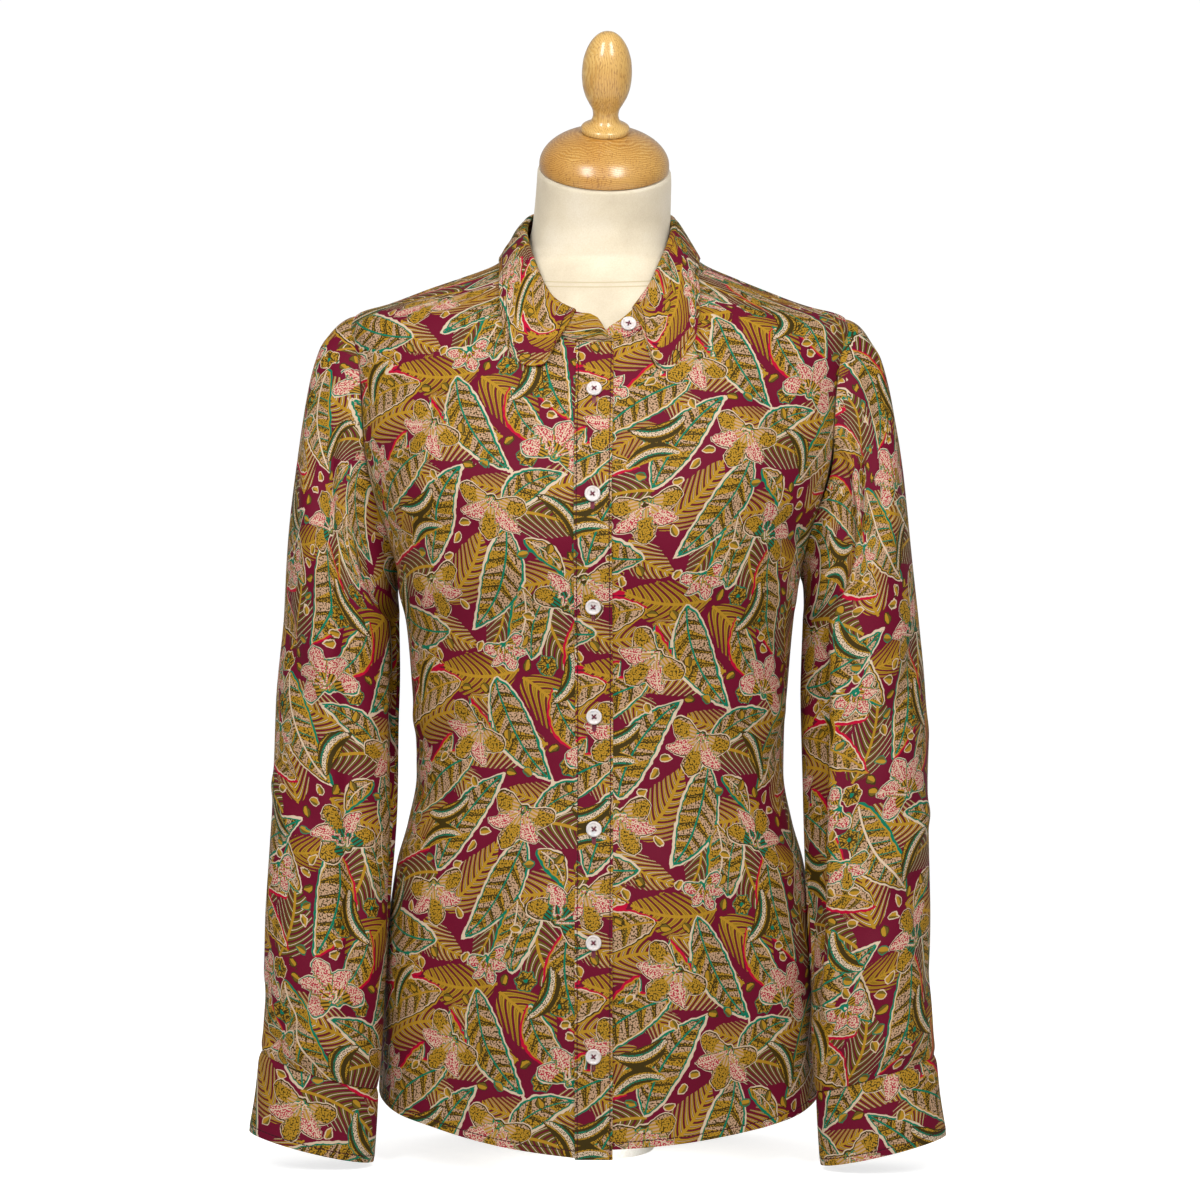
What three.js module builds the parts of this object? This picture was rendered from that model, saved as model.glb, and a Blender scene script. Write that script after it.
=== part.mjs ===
// A woman's long-sleeved shirt with a button front, worn on a limbless dress form.
// Millimetres, +Z up. The front faces -Y and the wearer's right is -X.
// z = 0 is the floor under the form's foot.
// A turn is an angle in degrees about the upright axis: 0 at the centre front, 180 at the centre back.
import * as THREE from "three";

// ---------------------------------------------------------------- driving dimensions

const CLOTH = 1.3; // wall of one layer of cloth
const FACED = 1.5; // wall of the interlined pieces: placket, collar and cuffs
const SEAM = 0.35; // gap left at a seam, and between a piece and what it lies on
const UNDERARM_Z = 430;
const ARMHOLE_TOP_Z = 625;
const ARMHOLE_FRONT = 44; // how far the armhole reaches in front of the side
const ARMHOLE_BACK = 46; // and behind it
const SHOULDER_SEAM_Y = -14; // the shoulder seams lie this far in front of the ridge
const SHOULDER_GAP = 0.45; // and are this wide, as the panels meet at a slant there
const YOKE_Z = 590; // level of the seam across the back
const PLACKET_WIDTH = 27;
const LAP = 12; // how far each front's edge lies from the centre front, under the placket
const LEFT_HEM_LIFT = 6.5; // the under front is this much shorter at the centre
const LEFT_HEM_REACH = 45; // and less so up to this turn
const LEFT_DROP = 4; // the left shoulder hangs this much lower
const RIGHT_EASE = 5; // extra roundness of the right sleeve's head
const BUTTON_RADIUS = 5.7;
const BUTTON_THICK = 2.2;
const BUTTON_COUNT = 7;
const TOP_BUTTON_Z = 564.5;
const BUTTON_PITCH = 81; // along the placket
const STAND_LAP = 12; // turn up to which the stand's right end lies over its left one
const STAND_LAP_BACK = 22; // and the turn where it is back in line
const CUFF_LAP = 36; // degrees of the cuff's circle that lie double
const CUFF_STEP = 38; // and over which it climbs onto its own start
const FORM_BASE_Z = 65;
const FOOT_HALF = 40;
const FOOT_DEEP = 60;
const FOOT_Y = 25;
const NECK_TOP_Z = 734;
const NECK_TILT = 27; // lean of the neck's top towards the front
const NECK_LEAN = 0.05; // and its slope towards the wearer's left

// ---------------------------------------------------------------- tables

// A table is read as table(key, column): a smooth curve through its rows that never overshoots them.
function table(columns, rows) {
  const names = columns.split(" ");
  const keys = rows.map((row) => row[0]);
  return (key, name) => {
    const column = names.indexOf(name);
    const values = rows.map((row) => row[column]);
    const last = keys.length - 1;
    if (key <= keys[0]) return values[0];
    if (key >= keys[last]) return values[last];
    let i = 0;
    while (keys[i + 1] < key) i += 1;
    const rise = (k) => (values[k + 1] - values[k]) / (keys[k + 1] - keys[k]);
    const slope = (k) => {
      if (k === 0) return rise(0);
      if (k === last) return rise(last - 1);
      const a = rise(k - 1);
      const b = rise(k);
      return a * b <= 0 ? 0 : (2 * a * b) / (a + b);
    };
    const step = keys[i + 1] - keys[i];
    const t = (key - keys[i]) / step;
    return (
      values[i] * (1 + 2 * t) * (1 - t) ** 2 +
      values[i + 1] * t * t * (3 - 2 * t) +
      step * t * (1 - t) * ((1 - t) * slope(i) - t * slope(i + 1))
    );
  };
}

// The outside of the shirt's body, level by level: half its width, how far its front and back stand
// from the side seams, and how square the section is (2 is an ellipse).
// Between UNDERARM_Z and ARMHOLE_TOP_Z the sides are the armholes.
const BODY = table("z half front back square", [
  [0, 165, 118, 121, 2.3],
  [50, 165, 118, 121, 2.3],
  [90, 164, 119, 124, 2.3],
  [144, 161.5, 119, 126, 2.3],
  [190, 156, 117, 121, 2.3],
  [219, 151.5, 114, 113, 2.3],
  [249, 143.5, 110.5, 103, 2.3],
  [286, 137.3, 108, 93, 2.3],
  [314, 137.6, 108, 90, 2.3],
  [354, 140.6, 111, 92, 2.3],
  [399, 145, 121, 98, 2.3],
  [430, 150, 130, 103, 2.3],
  [460, 158.5, 136, 107, 2.3],
  [490, 170, 135, 110.5, 2.3],
  [523, 179.5, 126, 113, 2.3],
  [561, 185, 108, 112, 2.25],
  [590, 187.5, 94, 107, 2.2],
  [606, 188, 86, 102, 2.15],
  [616, 187.5, 81, 98.5, 2.1],
  [626, 181.5, 75.5, 94, 1.95],
  [636, 158.5, 69.5, 88.5, 1.8],
  [646, 132, 63.5, 81.5, 1.72],
  [656, 104, 57.5, 74, 1.7],
  [667, 77, 51.5, 65.5, 1.75],
  [680, 62, 49, 55, 1.85],
  [700, 52, 47, 44, 2],
]);

const HEM = table("turn z", [
  [0, 14],
  [18, 20.5],
  [33, 27.5],
  [45, 33],
  [60, 38],
  [75, 44.5],
  [90, 50],
  [105, 45],
  [120, 34],
  [140, 17],
  [160, 8],
  [180, 6],
]);

// The fold along the top of the collar, where the leaf turns over the stand.
const FOLD_HALF = 56.5;
const FOLD_DEEP = 65.5;
const COLLAR_Y = -15; // centre of the collar's rings
const NECK_HALF = 68;
const NECK_DEEP = 74;
const NECK_SQUARE = 2.5;
const COLLAR_RISE = 0.65; // the stand's foot above the panels' edge
const FOLD = table("turn z", [
  [0, 621.5],
  [15, 623.5],
  [25, 627.5],
  [35, 634],
  [45, 645],
  [55, 658],
  [65, 669.5],
  [75, 679.5],
  [90, 691],
  [105, 699.5],
  [120, 704],
  [150, 707],
  [180, 708],
]);

// How much of its full height the stand keeps near its two ends. A negative turn is past the centre front.
const STAND_END = {
  "-1": table("turn share", [
    [-7.6, 0.08],
    [-5.9, 0.24],
    [-4.2, 0.5],
    [-2.8, 0.73],
    [-0.7, 0.9],
    [4, 1],
  ]),
  1: table("turn share", [
    [-4, 0.1],
    [0, 0.24],
    [4.2, 0.4],
    [8, 0.54],
    [15, 0.68],
    [28, 0.88],
    [36, 1],
  ]),
};

// The free edge of the collar leaf: where it lies on the body, as x and z. With back 0 it is in front
// of the shoulder's ridge, with back 1 behind it.
const LEAF_EDGE = {
  "-1": table("turn x z back", [
    [15.5, 32, 590, 0],
    [17, 34.5, 584.5, 0],
    [20, 40, 581.5, 0],
    [25, 49, 582, 0],
    [32, 57.5, 587.5, 0],
    [42, 65, 601, 0],
    [58, 70, 628, 0],
    [75, 72.5, 656, 0],
    [88, 73.5, 667, 0],
    [105, 73.5, 668.5, 1],
    [120, 67.5, 669, 1],
    [140, 54, 666.5, 1],
    [160, 30, 664, 1],
    [180, 0, 663, 1],
  ]),
  1: table("turn x z back", [
    [27, 40, 590, 0],
    [28.5, 44, 580.5, 0],
    [31, 50, 577.5, 0],
    [36, 58.5, 583, 0],
    [42, 66, 593, 0],
    [50, 72.5, 606.5, 0],
    [62, 75, 633, 0],
    [76, 73.5, 655.5, 0],
    [88, 73.5, 667, 0],
    [105, 73.5, 668.5, 1],
    [120, 67.5, 669, 1],
    [140, 54, 666.5, 1],
    [160, 30, 664, 1],
    [180, 0, 663, 1],
  ]),
};
const LEAF_CLEAR = 3.7; // the leaf's edge stands this far off the body
const LEAF_BULGE = 1; // roundness of the leaf between fold and edge

// Sleeve rings by height: centre, half width, half depth and the tilt that lifts the outer side.
const SLEEVE = table("z x y half deep tilt", [
  [70, 203, -65.5, 42.8, 29.5, 17.5],
  [78, 202.4, -65, 44.6, 33.5, 16],
  [92, 201.2, -62.5, 44.4, 39.5, 13],
  [122, 200.2, -57, 43.5, 43.5, 7],
  [192, 199.2, -39, 45.6, 49, 2],
  [264, 197.7, -15, 46.3, 54, 0],
  [340, 196.7, -3, 46.2, 58, 1],
  [400, 195.1, 2, 43.4, 61, 5],
]);
const SLEEVE_TOP_Z = 400;
const SLEEVE_END_Z = 70.6;

const CUFF = table("down x y z half deep tilt", [
  [0, 203.4, -65.7, 70, 44.3, 29.5, 17.5],
  [30, 205.6, -66.5, 42.8, 44.8, 29.8, 15.5],
  [60, 209, -67.5, 14.6, 46, 30, 14],
]);
const CUFF_HEIGHT = 60;

// The bust lies this far inside the shirt's outer face.
const FORM_INSET = table("z inset", [
  [65, 10],
  [180, 8],
  [286, 6],
  [400, 4],
  [460, 3.6],
  [500, 3.2],
  [640, 3.2],
  [655, 4.4],
]);

const NECK = table("z y x half deep tilt lean", [
  [668, 2, 0, 63, 49.5, 1, 0],
  [680, 0, 0.5, 55, 49.5, 5, 0],
  [697, -5, 1.5, 51.5, 48.5, 12, 0],
  [715, -13.5, 3, 50.5, 48, 20, 0.02],
  [732, -23, 4, 49.6, 47.6, 26, 0.04],
  [NECK_TOP_Z, -24, 4, 48.6, 46.8, NECK_TILT, NECK_LEAN],
]);

const rad = THREE.MathUtils.degToRad;
const deg = THREE.MathUtils.radToDeg;
const lerp = THREE.MathUtils.lerp;
const vec = (x, y, z) => new THREE.Vector3(x, y, z);
const steps = (count) => Array.from({ length: count + 1 }, (_, i) => i / count);
const power = (value, exponent) => Math.sign(value) * Math.abs(value) ** exponent;

// ---------------------------------------------------------------- the body's surface

const depth = (z, back) => BODY(z, back ? "back" : "front");

// How much the cloth of the left shoulder is let down, growing from the neck out and from the chest up.
const { smoothstep } = THREE.MathUtils;
const settle = (x, z) => -LEFT_DROP * smoothstep(x, 40, 150) * smoothstep(z, 500, 640);

function bodyPoint(turn, z) {
  const sharp = 2 / BODY(z, "square");
  const c = Math.cos(rad(turn));
  const x = BODY(z, "half") * power(Math.sin(rad(turn)), sharp);
  return vec(x, -depth(z, c < 0) * power(c, sharp), z + settle(x, z));
}

function bodyNormal(turn, z) {
  const across = bodyPoint(turn + 0.6, z).sub(bodyPoint(turn - 0.6, z));
  const up = bodyPoint(turn, z + 0.6).sub(bodyPoint(turn, z - 0.6));
  return across.cross(up).normalize();
}

const onBody = ({ turn, z }) => ({ p: bodyPoint(turn, z), n: bodyNormal(turn, z) });

// The turn of the point of the level z that has this x, in front or behind.
function turnAt(x, z, back) {
  const share = Math.min(Math.abs(x) / BODY(z, "half"), 1) ** (BODY(z, "square") / 2);
  const turn = Math.asin(share) * Math.sign(x || 1);
  return back ? 180 - deg(turn) : deg(turn);
}

// The place on the shoulders or upper body that lies above or below a point (x, y) of the plan.
function lift(x, y) {
  let low = 575;
  let high = 700;
  while (high - low > 0.001) {
    const z = (low + high) / 2;
    const square = BODY(z, "square");
    const across = (Math.abs(x) / BODY(z, "half")) ** square;
    const along = (Math.abs(y) / depth(z, y > 0)) ** square;
    if (across + along < 1) low = z;
    else high = z;
  }
  return { turn: turnAt(x, low, y > 0), z: low };
}

// A place on the left armhole. Round 0 is the shoulder tip, 90 the front, 180 the underarm.
function armhole(round, grow = 0) {
  const middle = (UNDERARM_Z + ARMHOLE_TOP_Z) / 2;
  const high = (ARMHOLE_TOP_Z - UNDERARM_Z) / 2 + grow;
  const s = Math.sin(rad(round));
  const z = middle + high * Math.cos(rad(round));
  const reach = (s > 0 ? ARMHOLE_FRONT + grow : ARMHOLE_BACK + grow) * Math.abs(s);
  const share = (reach / depth(z, s < 0)) ** (BODY(z, "square") / 2);
  const turn = deg(Math.acos(share));
  return { turn: s < 0 ? 180 - turn : turn, z };
}

// The neck seam, a squarish ring in plan laid on the body.
function neckSeam(turn) {
  const x = NECK_HALF * power(Math.sin(rad(turn)), 2 / NECK_SQUARE);
  return lift(x, COLLAR_Y - NECK_DEEP * power(Math.cos(rad(turn)), 2 / NECK_SQUARE));
}

const neckTurnAtX = (x) => deg(Math.asin(power(x / NECK_HALF, NECK_SQUARE / 2)));
const neckTurnAtY = (y) => 90 + deg(Math.asin(power((y - COLLAR_Y) / NECK_DEEP, NECK_SQUARE / 2)));
const frontRoundAtY = (y) => deg(Math.asin(-y / (ARMHOLE_FRONT + SEAM)));
const backRoundAtZ = (z) =>
  -deg(Math.acos((z - (UNDERARM_Z + ARMHOLE_TOP_Z) / 2) / ((ARMHOLE_TOP_Z - UNDERARM_Z) / 2 + SEAM)));

// ---------------------------------------------------------------- walls

// Normals of a grid of points, from its neighbours; loop says that the last column meets the first.
function withNormals(points, loop, sign) {
  const columns = points[0].length;
  return points.map((row, v) =>
    row.map((p, u) => {
      const left = loop ? row[(u - 1 + columns) % columns] : row[Math.max(u - 1, 0)];
      const right = loop ? row[(u + 1) % columns] : row[Math.min(u + 1, columns - 1)];
      const below = points[Math.max(v - 1, 0)][u];
      const above = points[Math.min(v + 1, points.length - 1)][u];
      const across = right.clone().sub(left);
      return { p, n: across.cross(above.clone().sub(below)).multiplyScalar(sign).normalize() };
    }),
  );
}

const moved = ({ p, n }, out) => p.clone().addScaledVector(n, out);

function geometryOf(vertices, triangles) {
  const position = new THREE.Float32BufferAttribute(vertices.flatMap((p) => [p.x, p.y, p.z]), 3);
  const geometry = new THREE.BufferGeometry().setAttribute("position", position);
  geometry.setIndex(triangles.flat());
  let volume = 0;
  for (const [a, b, c] of triangles)
    volume += vertices[a].dot(vertices[b].clone().cross(vertices[c]));
  if (volume < 0) geometry.setIndex(triangles.flatMap(([a, b, c]) => [a, c, b]));
  geometry.computeVertexNormals();
  return geometry;
}

// A closed wall between the grid moved out by `inside` and by `outside`.
function wall(grid, inside, outside, loop = false) {
  const rows = grid.length;
  const columns = grid[0].length;
  const half = rows * columns;
  const vertices = [outside, inside].flatMap((out) => grid.flat().map((g) => moved(g, out)));
  const triangles = [];
  const quad = (a, b, c, d) => triangles.push([a, b, c], [a, c, d]);
  const at = (v, u) => v * columns + (u % columns);
  const cells = loop ? columns : columns - 1;
  for (let v = 0; v < rows - 1; v += 1)
    for (let u = 0; u < cells; u += 1) {
      const corner = [at(v, u), at(v, u + 1), at(v + 1, u + 1), at(v + 1, u)];
      quad(...corner);
      quad(...corner.map((i) => i + half).reverse());
    }
  for (let u = 0; u < cells; u += 1)
    for (const [v, a, b] of [[0, u, u + 1], [rows - 1, u + 1, u]])
      quad(at(v, b), at(v, a), at(v, a) + half, at(v, b) + half);
  if (!loop)
    for (let v = 0; v < rows - 1; v += 1)
      for (const [u, a, b] of [[0, v + 1, v], [columns - 1, v, v + 1]])
        quad(at(b, u), at(a, u), at(a, u) + half, at(b, u) + half);
  return geometryOf(vertices, triangles);
}

// A solid through rings of points, closed by a fan at each end.
function solid(rings) {
  const count = rings[0].length;
  const vertices = rings.flat();
  const triangles = [];
  for (let v = 0; v < rings.length - 1; v += 1)
    for (let u = 0; u < count; u += 1) {
      const a = v * count + u;
      const b = v * count + ((u + 1) % count);
      triangles.push([a, b, b + count], [a, b + count, a + count]);
    }
  for (const [start, flip] of [[0, true], [(rings.length - 1) * count, false]]) {
    const centre = vec(0, 0, 0);
    for (let u = 0; u < count; u += 1) centre.addScaledVector(vertices[start + u], 1 / count);
    const middle = vertices.push(centre) - 1;
    for (let u = 0; u < count; u += 1) {
      const a = start + u;
      const b = start + ((u + 1) % count);
      triangles.push(flip ? [b, a, middle] : [a, b, middle]);
    }
  }
  return geometryOf(vertices, triangles);
}

// ---------------------------------------------------------------- fronts, back and yoke

const mirrored = ({ turn, z }) => ({ turn: -turn, z });
const between = (a, b, t) => ({ turn: lerp(a.turn, b.turn, t), z: lerp(a.z, b.z, t) });
const CHEST_ROUND = 80; // where the row that ends at the top of the centre front meets the armhole
const BUST_Z = 438; // the level at the centre front of the row that ends at the underarm
const SIDE_TURN = 90 - 0.07; // a side seam's edge, half a seam gap short of the side

// Places along the armhole where rows of the panels end; the sleeve's columns start at the same ones.
const run = (from, to, count) => steps(count).map((t) => lerp(from, to, t));
const FRONT_SIDE_ROUNDS = run(180, CHEST_ROUND, 6);
const FRONT_TOP_ROUNDS = run(CHEST_ROUND, frontRoundAtY(SHOULDER_SEAM_Y - SHOULDER_GAP), 6);
const YOKE_ROUNDS = run(frontRoundAtY(SHOULDER_SEAM_Y), backRoundAtZ(YOKE_Z + SEAM / 2), 8);
const BACK_ROUNDS = run(-180, backRoundAtZ(YOKE_Z - SEAM / 2), 6);

// Places along the neck seam where columns of the panels end, by the wearer's side.
const FRONT_EDGE = { "-1": LAP + SEAM / 2, 1: -(LAP - SEAM / 2) };
const FRONT_NECK_TURNS = (side) =>
  run(
    neckTurnAtX(FRONT_EDGE[side]),
    neckTurnAtY(SHOULDER_SEAM_Y - SHOULDER_GAP),
    FRONT_TOP_ROUNDS.length - 1,
  );
const YOKE_NECK_TURN = neckTurnAtY(SHOULDER_SEAM_Y);
const YOKE_NECK_STEPS = 10;

const FRONT_LOW_STEPS = 12;
const FRONT_HIGH_STEPS = FRONT_SIDE_ROUNDS.length - 1;

// One front. Its rows start at the centre front, and higher up at the neck seam. They end at the side
// seam, and higher up at the armhole.
function front(side) {
  const edge = FRONT_EDGE[side];
  const neckTurns = FRONT_NECK_TURNS(side);
  const hem = (turn) => {
    const short = side > 0 ? LEFT_HEM_LIFT * Math.max(0, 1 - Math.abs(turn) / LEFT_HEM_REACH) : 0;
    return HEM(Math.abs(turn), "z") + short;
  };
  const columns = steps(10);
  const edgePlace = (z) => ({ turn: turnAt(edge, z, false), z });
  const rows = steps(FRONT_LOW_STEPS).map((v) => {
    const start = edgePlace(lerp(hem(0), BUST_Z, v));
    return columns.map((u) => {
      const turn = lerp(start.turn, SIDE_TURN, u);
      return { turn, z: lerp(hem(turn), lerp(BUST_Z, UNDERARM_Z, u), v) };
    });
  });
  FRONT_SIDE_ROUNDS.slice(1).forEach((round, i) => {
    const z = lerp(BUST_Z, neckSeam(neckTurns[0]).z, (i + 1) / FRONT_HIGH_STEPS);
    rows.push(columns.map((u) => between(edgePlace(z), armhole(round, SEAM), u)));
  });
  FRONT_TOP_ROUNDS.slice(1).forEach((round, i) => {
    const start = neckSeam(neckTurns[i + 1]);
    rows.push(columns.map((u) => between(start, armhole(round, SEAM), u)));
  });
  const seam = rows[rows.length - 1];
  for (const place of seam.slice(1, -1))
    Object.assign(place, lift(bodyPoint(place.turn, place.z).x, SHOULDER_SEAM_Y - SHOULDER_GAP));
  const placed = side > 0 ? rows : rows.map((row) => row.map(mirrored));
  return wall(placed.map((row) => row.map(onBody)), -CLOTH, 0);
}

function back() {
  const columns = steps(18);
  const top = YOKE_Z - SEAM / 2;
  const sideHem = HEM(90, "z");
  const row = (end, share) =>
    columns.map((u) => {
      const turn = lerp(end, 360 - end, u);
      return { turn, z: lerp(HEM(180 - Math.abs(180 - turn), "z"), top, share) };
    });
  const underarm = (UNDERARM_Z - sideHem) / (top - sideHem);
  const rows = steps(11).map((v) => row(180 - SIDE_TURN, underarm * v));
  for (const round of BACK_ROUNDS.slice(1)) {
    const end = armhole(round, SEAM);
    rows.push(row(end.turn, Math.min((end.z - sideHem) / (top - sideHem), 1)));
  }
  return wall(rows.map((r) => r.map(onBody)), -CLOTH, 0);
}

// The yoke in plan: from the front shoulder seams and the back neck to the seam across the back.
function yoke() {
  const plan = ({ turn, z }) => {
    const p = bodyPoint(turn, z);
    return vec(p.x, p.y, 0);
  };
  const SHOULDER_STEPS = 6;
  const tip = plan(armhole(YOKE_ROUNDS[0], SEAM));
  const neck = plan(neckSeam(YOKE_NECK_TURN));
  const shoulder = steps(SHOULDER_STEPS).map((t) => tip.clone().lerp(neck, t));
  const flip = (p) => vec(-p.x, p.y, 0);
  const neckRun = run(YOKE_NECK_TURN, 360 - YOKE_NECK_TURN, YOKE_NECK_STEPS).map((t) => plan(neckSeam(t)));
  const upper = [...shoulder, ...neckRun.slice(1, -1), ...shoulder.map(flip).reverse()];
  const corner = armhole(YOKE_ROUNDS.at(-1), SEAM).turn;
  const last = upper.length - 1;
  const lower = upper.map((_, i) =>
    plan({ turn: lerp(corner, 360 - corner, i / last), z: YOKE_Z + SEAM / 2 }));
  const rows = YOKE_ROUNDS.map((round, j) => {
    const v = j / (YOKE_ROUNDS.length - 1);
    const bow = plan(armhole(round, SEAM)).sub(upper[0].clone().lerp(lower[0], v));
    return upper.map((start, i) => {
      const p = start.clone().lerp(lower[i], v);
      p.addScaledVector(bow, 1 - i / last);
      p.addScaledVector(flip(bow), i / last);
      return onBody(lift(p.x, p.y));
    });
  });
  return wall(rows, -CLOTH, 0);
}

// The placket lies on both fronts: their points, moved out.
function placket() {
  const top = neckSeam(0).z - SEAM;
  const low = run(HEM(0, "z"), BUST_Z, FRONT_LOW_STEPS);
  const levels = [...low, ...run(BUST_Z, top, FRONT_HIGH_STEPS).slice(1)];
  const rows = levels.map((z) =>
    [-1, 0, 1].map((side) => onBody({ turn: turnAt((side * PLACKET_WIDTH) / 2, z, false), z })));
  return wall(rows, SEAM, SEAM + FACED);
}

// ---------------------------------------------------------------- collar

// The stand's foot follows the straight edges of the panels it is sewn to.
const NECK_EDGE_TURNS = [
  ...FRONT_NECK_TURNS(1),
  ...run(YOKE_NECK_TURN, 360 - YOKE_NECK_TURN, YOKE_NECK_STEPS),
  ...FRONT_NECK_TURNS(-1).map((turn) => 360 - turn).reverse(),
  360 - neckTurnAtX(-PLACKET_WIDTH / 2 - SEAM),
];

function standFoot(turn) {
  const at = (t) => onBody(neckSeam(t)).p;
  const i = Math.max(1, NECK_EDGE_TURNS.findIndex((t) => t >= turn - 1e-6));
  const [from, to] = [NECK_EDGE_TURNS[i - 1], NECK_EDGE_TURNS[i]];
  return at(from).lerp(at(to), (turn - from) / (to - from)).add(vec(0, 0, COLLAR_RISE));
}

function foldPoint(turn) {
  const x = FOLD_HALF * Math.sin(rad(turn));
  return vec(x, COLLAR_Y - FOLD_DEEP * Math.cos(rad(turn)), FOLD(Math.abs(ownTurn(turn)), "z"));
}

const ownTurn = (turn) => (turn > 180 ? 360 - turn : turn);

// A point of the stand, by turn and by share of its height. The right end lies over the left one.
function standPoint(turn, share) {
  const side = turn > 180 ? -1 : 1;
  const own = ownTurn(turn);
  const over = side < 0 ? (FACED + SEAM) * smoothstep(-own, -STAND_LAP_BACK, -STAND_LAP) : 0;
  const p = standFoot(turn).lerp(foldPoint(turn), share * STAND_END[side](own, "share"));
  return p.add(vec(0, -over, 0));
}

// Columns of the collar: each side's own front stretch, and the rest alike.
const COLLAR_TURNS = [60, 70, 80, 90, 102, 115, 130, 147, 164];
const STAND_TURNS_LEFT = [-4, 0, 4, 8, 15, 21, 27, 31, 36, 42, 50];
const STAND_TURNS_RIGHT = [-7.6, -5.9, -4.2, -2.8, -0.7, 4, 9, 15.5, 20, 25, 32, 40, 50];
const LEAF_TURNS_LEFT = [27, 28.5, 31, 36, 42, 50];
const LEAF_TURNS_RIGHT = [15.5, 17, 20, 25, 32, 40, 50];

const roundTheNeck = (left, right) => [
  ...left,
  ...COLLAR_TURNS,
  180,
  ...[...right, ...COLLAR_TURNS].map((turn) => 360 - turn).reverse(),
];

function stand() {
  const turns = roundTheNeck(STAND_TURNS_LEFT, STAND_TURNS_RIGHT);
  const points = [0, 0.5, 1].map((share) => turns.map((turn) => standPoint(turn, share)));
  return wall(withNormals(points, false, 1), -FACED, 0);
}

// A point of the leaf, from the fold (share 0) to its free edge (share 1).
function leafPoint(turn, share) {
  const side = turn > 180 ? -1 : 1;
  const own = ownTurn(turn);
  const edge = LEAF_EDGE[side];
  const z = edge(own, "z");
  const x = Math.min(edge(own, "x"), BODY(z, "half"));
  const placed = onBody({ turn: turnAt(side * x, z, edge(own, "back") > 0.5), z });
  const end = moved(placed, LEAF_CLEAR);
  const start = standPoint(turn, 1);
  const out = vec(start.x, start.y - COLLAR_Y, 0).normalize();
  start.addScaledVector(out, SEAM);
  const p = start.lerp(end, share);
  const round = LEAF_BULGE * Math.sin(Math.PI * Math.sqrt(share));
  return p.addScaledVector(out, round).add(vec(0, 0, round * 0.6));
}

const LEAF_SHARES = [0, 0.12, 0.3, 0.52, 0.76, 1];

function leaf() {
  const turns = roundTheNeck(LEAF_TURNS_LEFT, LEAF_TURNS_RIGHT);
  const points = LEAF_SHARES.map((share) => turns.map((t) => leafPoint(t, share)));
  return wall(withNormals(points, false, -1), 0, FACED);
}

// ---------------------------------------------------------------- sleeves and cuffs

// A ring's point: an ellipse, tipped so that its outer side is higher. Round is as on the armhole.
function ringPoint(ring, round) {
  const across = ring.half * Math.cos(rad(round));
  const tilt = rad(ring.tilt);
  return vec(
    ring.x + across * Math.cos(tilt),
    ring.y - ring.deep * Math.sin(rad(round)),
    ring.z + across * Math.sin(tilt),
  );
}

const readRing = (source, key, names) =>
  Object.fromEntries(names.split(" ").map((name) => [name, source(key, name)]));

// A value that is `top` over the shoulder, `side` at front and back and `under` at the underarm.
const around = (top, side, under, round) => {
  const mean = (top + under) / 2;
  const c = Math.cos(rad(round));
  return lerp(side, mean, c * c) + ((top - under) / 2) * c;
};

// The sleeve's head: from the armhole out and over, by a cubic curve, down to the upper arm's ring.
function sleeveHead(side, round, t) {
  const seam = armhole(round);
  const place = onBody(side > 0 ? seam : mirrored(seam));
  if (side < 0) place.p.x *= -1;
  const arm = readRing(SLEEVE, SLEEVE_TOP_Z, "x y z half deep tilt");
  const end = ringPoint({ ...arm, z: SLEEVE_TOP_Z }, round);
  const s = Math.sin(rad(round));
  const ease = side < 0 ? RIGHT_EASE : 0;
  const first = place.p.clone().add(
    vec(around(29 + ease, 11, 4, round), -7 * s, around(-3, -12, -6, round)));
  const second = end.clone().add(
    vec(around(ease - 14, -3, 0, round), 3 * s, around(146, 50, 12, round)));
  return new THREE.CubicBezierCurve3(place.p, first, second, end).getPoint(t);
}

const HEAD_STEPS = [0, 0.06, 0.16, 0.28, 0.42, 0.58, 0.78];
const ARM_LEVELS = [400, 340, 280, 220, 165, 122, 98, 84, 77, SLEEVE_END_Z];

function sleeve(side) {
  const rounds = [
    ...FRONT_SIDE_ROUNDS,
    ...FRONT_TOP_ROUNDS.slice(1),
    ...YOKE_ROUNDS.slice(1),
    ...BACK_ROUNDS.slice(1, -1).reverse(),
  ];
  const points = HEAD_STEPS.map((t) => rounds.map((round) => sleeveHead(side, round, t)));
  for (const level of ARM_LEVELS) {
    const ring = { ...readRing(SLEEVE, level, "x y half deep tilt"), z: level };
    points.push(rounds.map((round) => ringPoint(ring, round)));
  }
  const grid = withNormals(points, true, -1);
  grid[0].forEach((g, i) => g.n.add(onBody(armhole(rounds[i])).n).normalize());
  const placed = side > 0 ? grid : grid.map((row) => row.map(mirrorPoint));
  return wall(placed, -CLOTH, 0, true);
}

const mirrorPoint = ({ p, n }) => ({ p: vec(-p.x, p.y, p.z), n: vec(-n.x, n.y, n.z) });

const CUFF_START = 250; // round of the cuff's under edge, at the back of the wrist

// The cuff is a band that runs once round the wrist and on over its own start.
function cuffGrid() {
  const columns = steps(26).map((u) => u * (360 + CUFF_LAP));
  const points = [0, 0.5, 1].map((share) => {
    const ring = readRing(CUFF, share * CUFF_HEIGHT, "x y z half deep tilt");
    return columns.map((c) => ringPoint(ring, CUFF_START + c));
  });
  const grid = withNormals(points, false, 1);
  return grid.map((row) =>
    row.map((g, i) => {
      const out = (FACED + SEAM) * smoothstep(columns[i], 360 - CUFF_STEP, 360);
      return { p: moved(g, out), n: g.n };
    }),
  );
}

function cuff(side) {
  const grid = cuffGrid();
  return wall(side > 0 ? grid : grid.map((row) => row.map(mirrorPoint)), 0, FACED);
}

// ---------------------------------------------------------------- buttons

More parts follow.
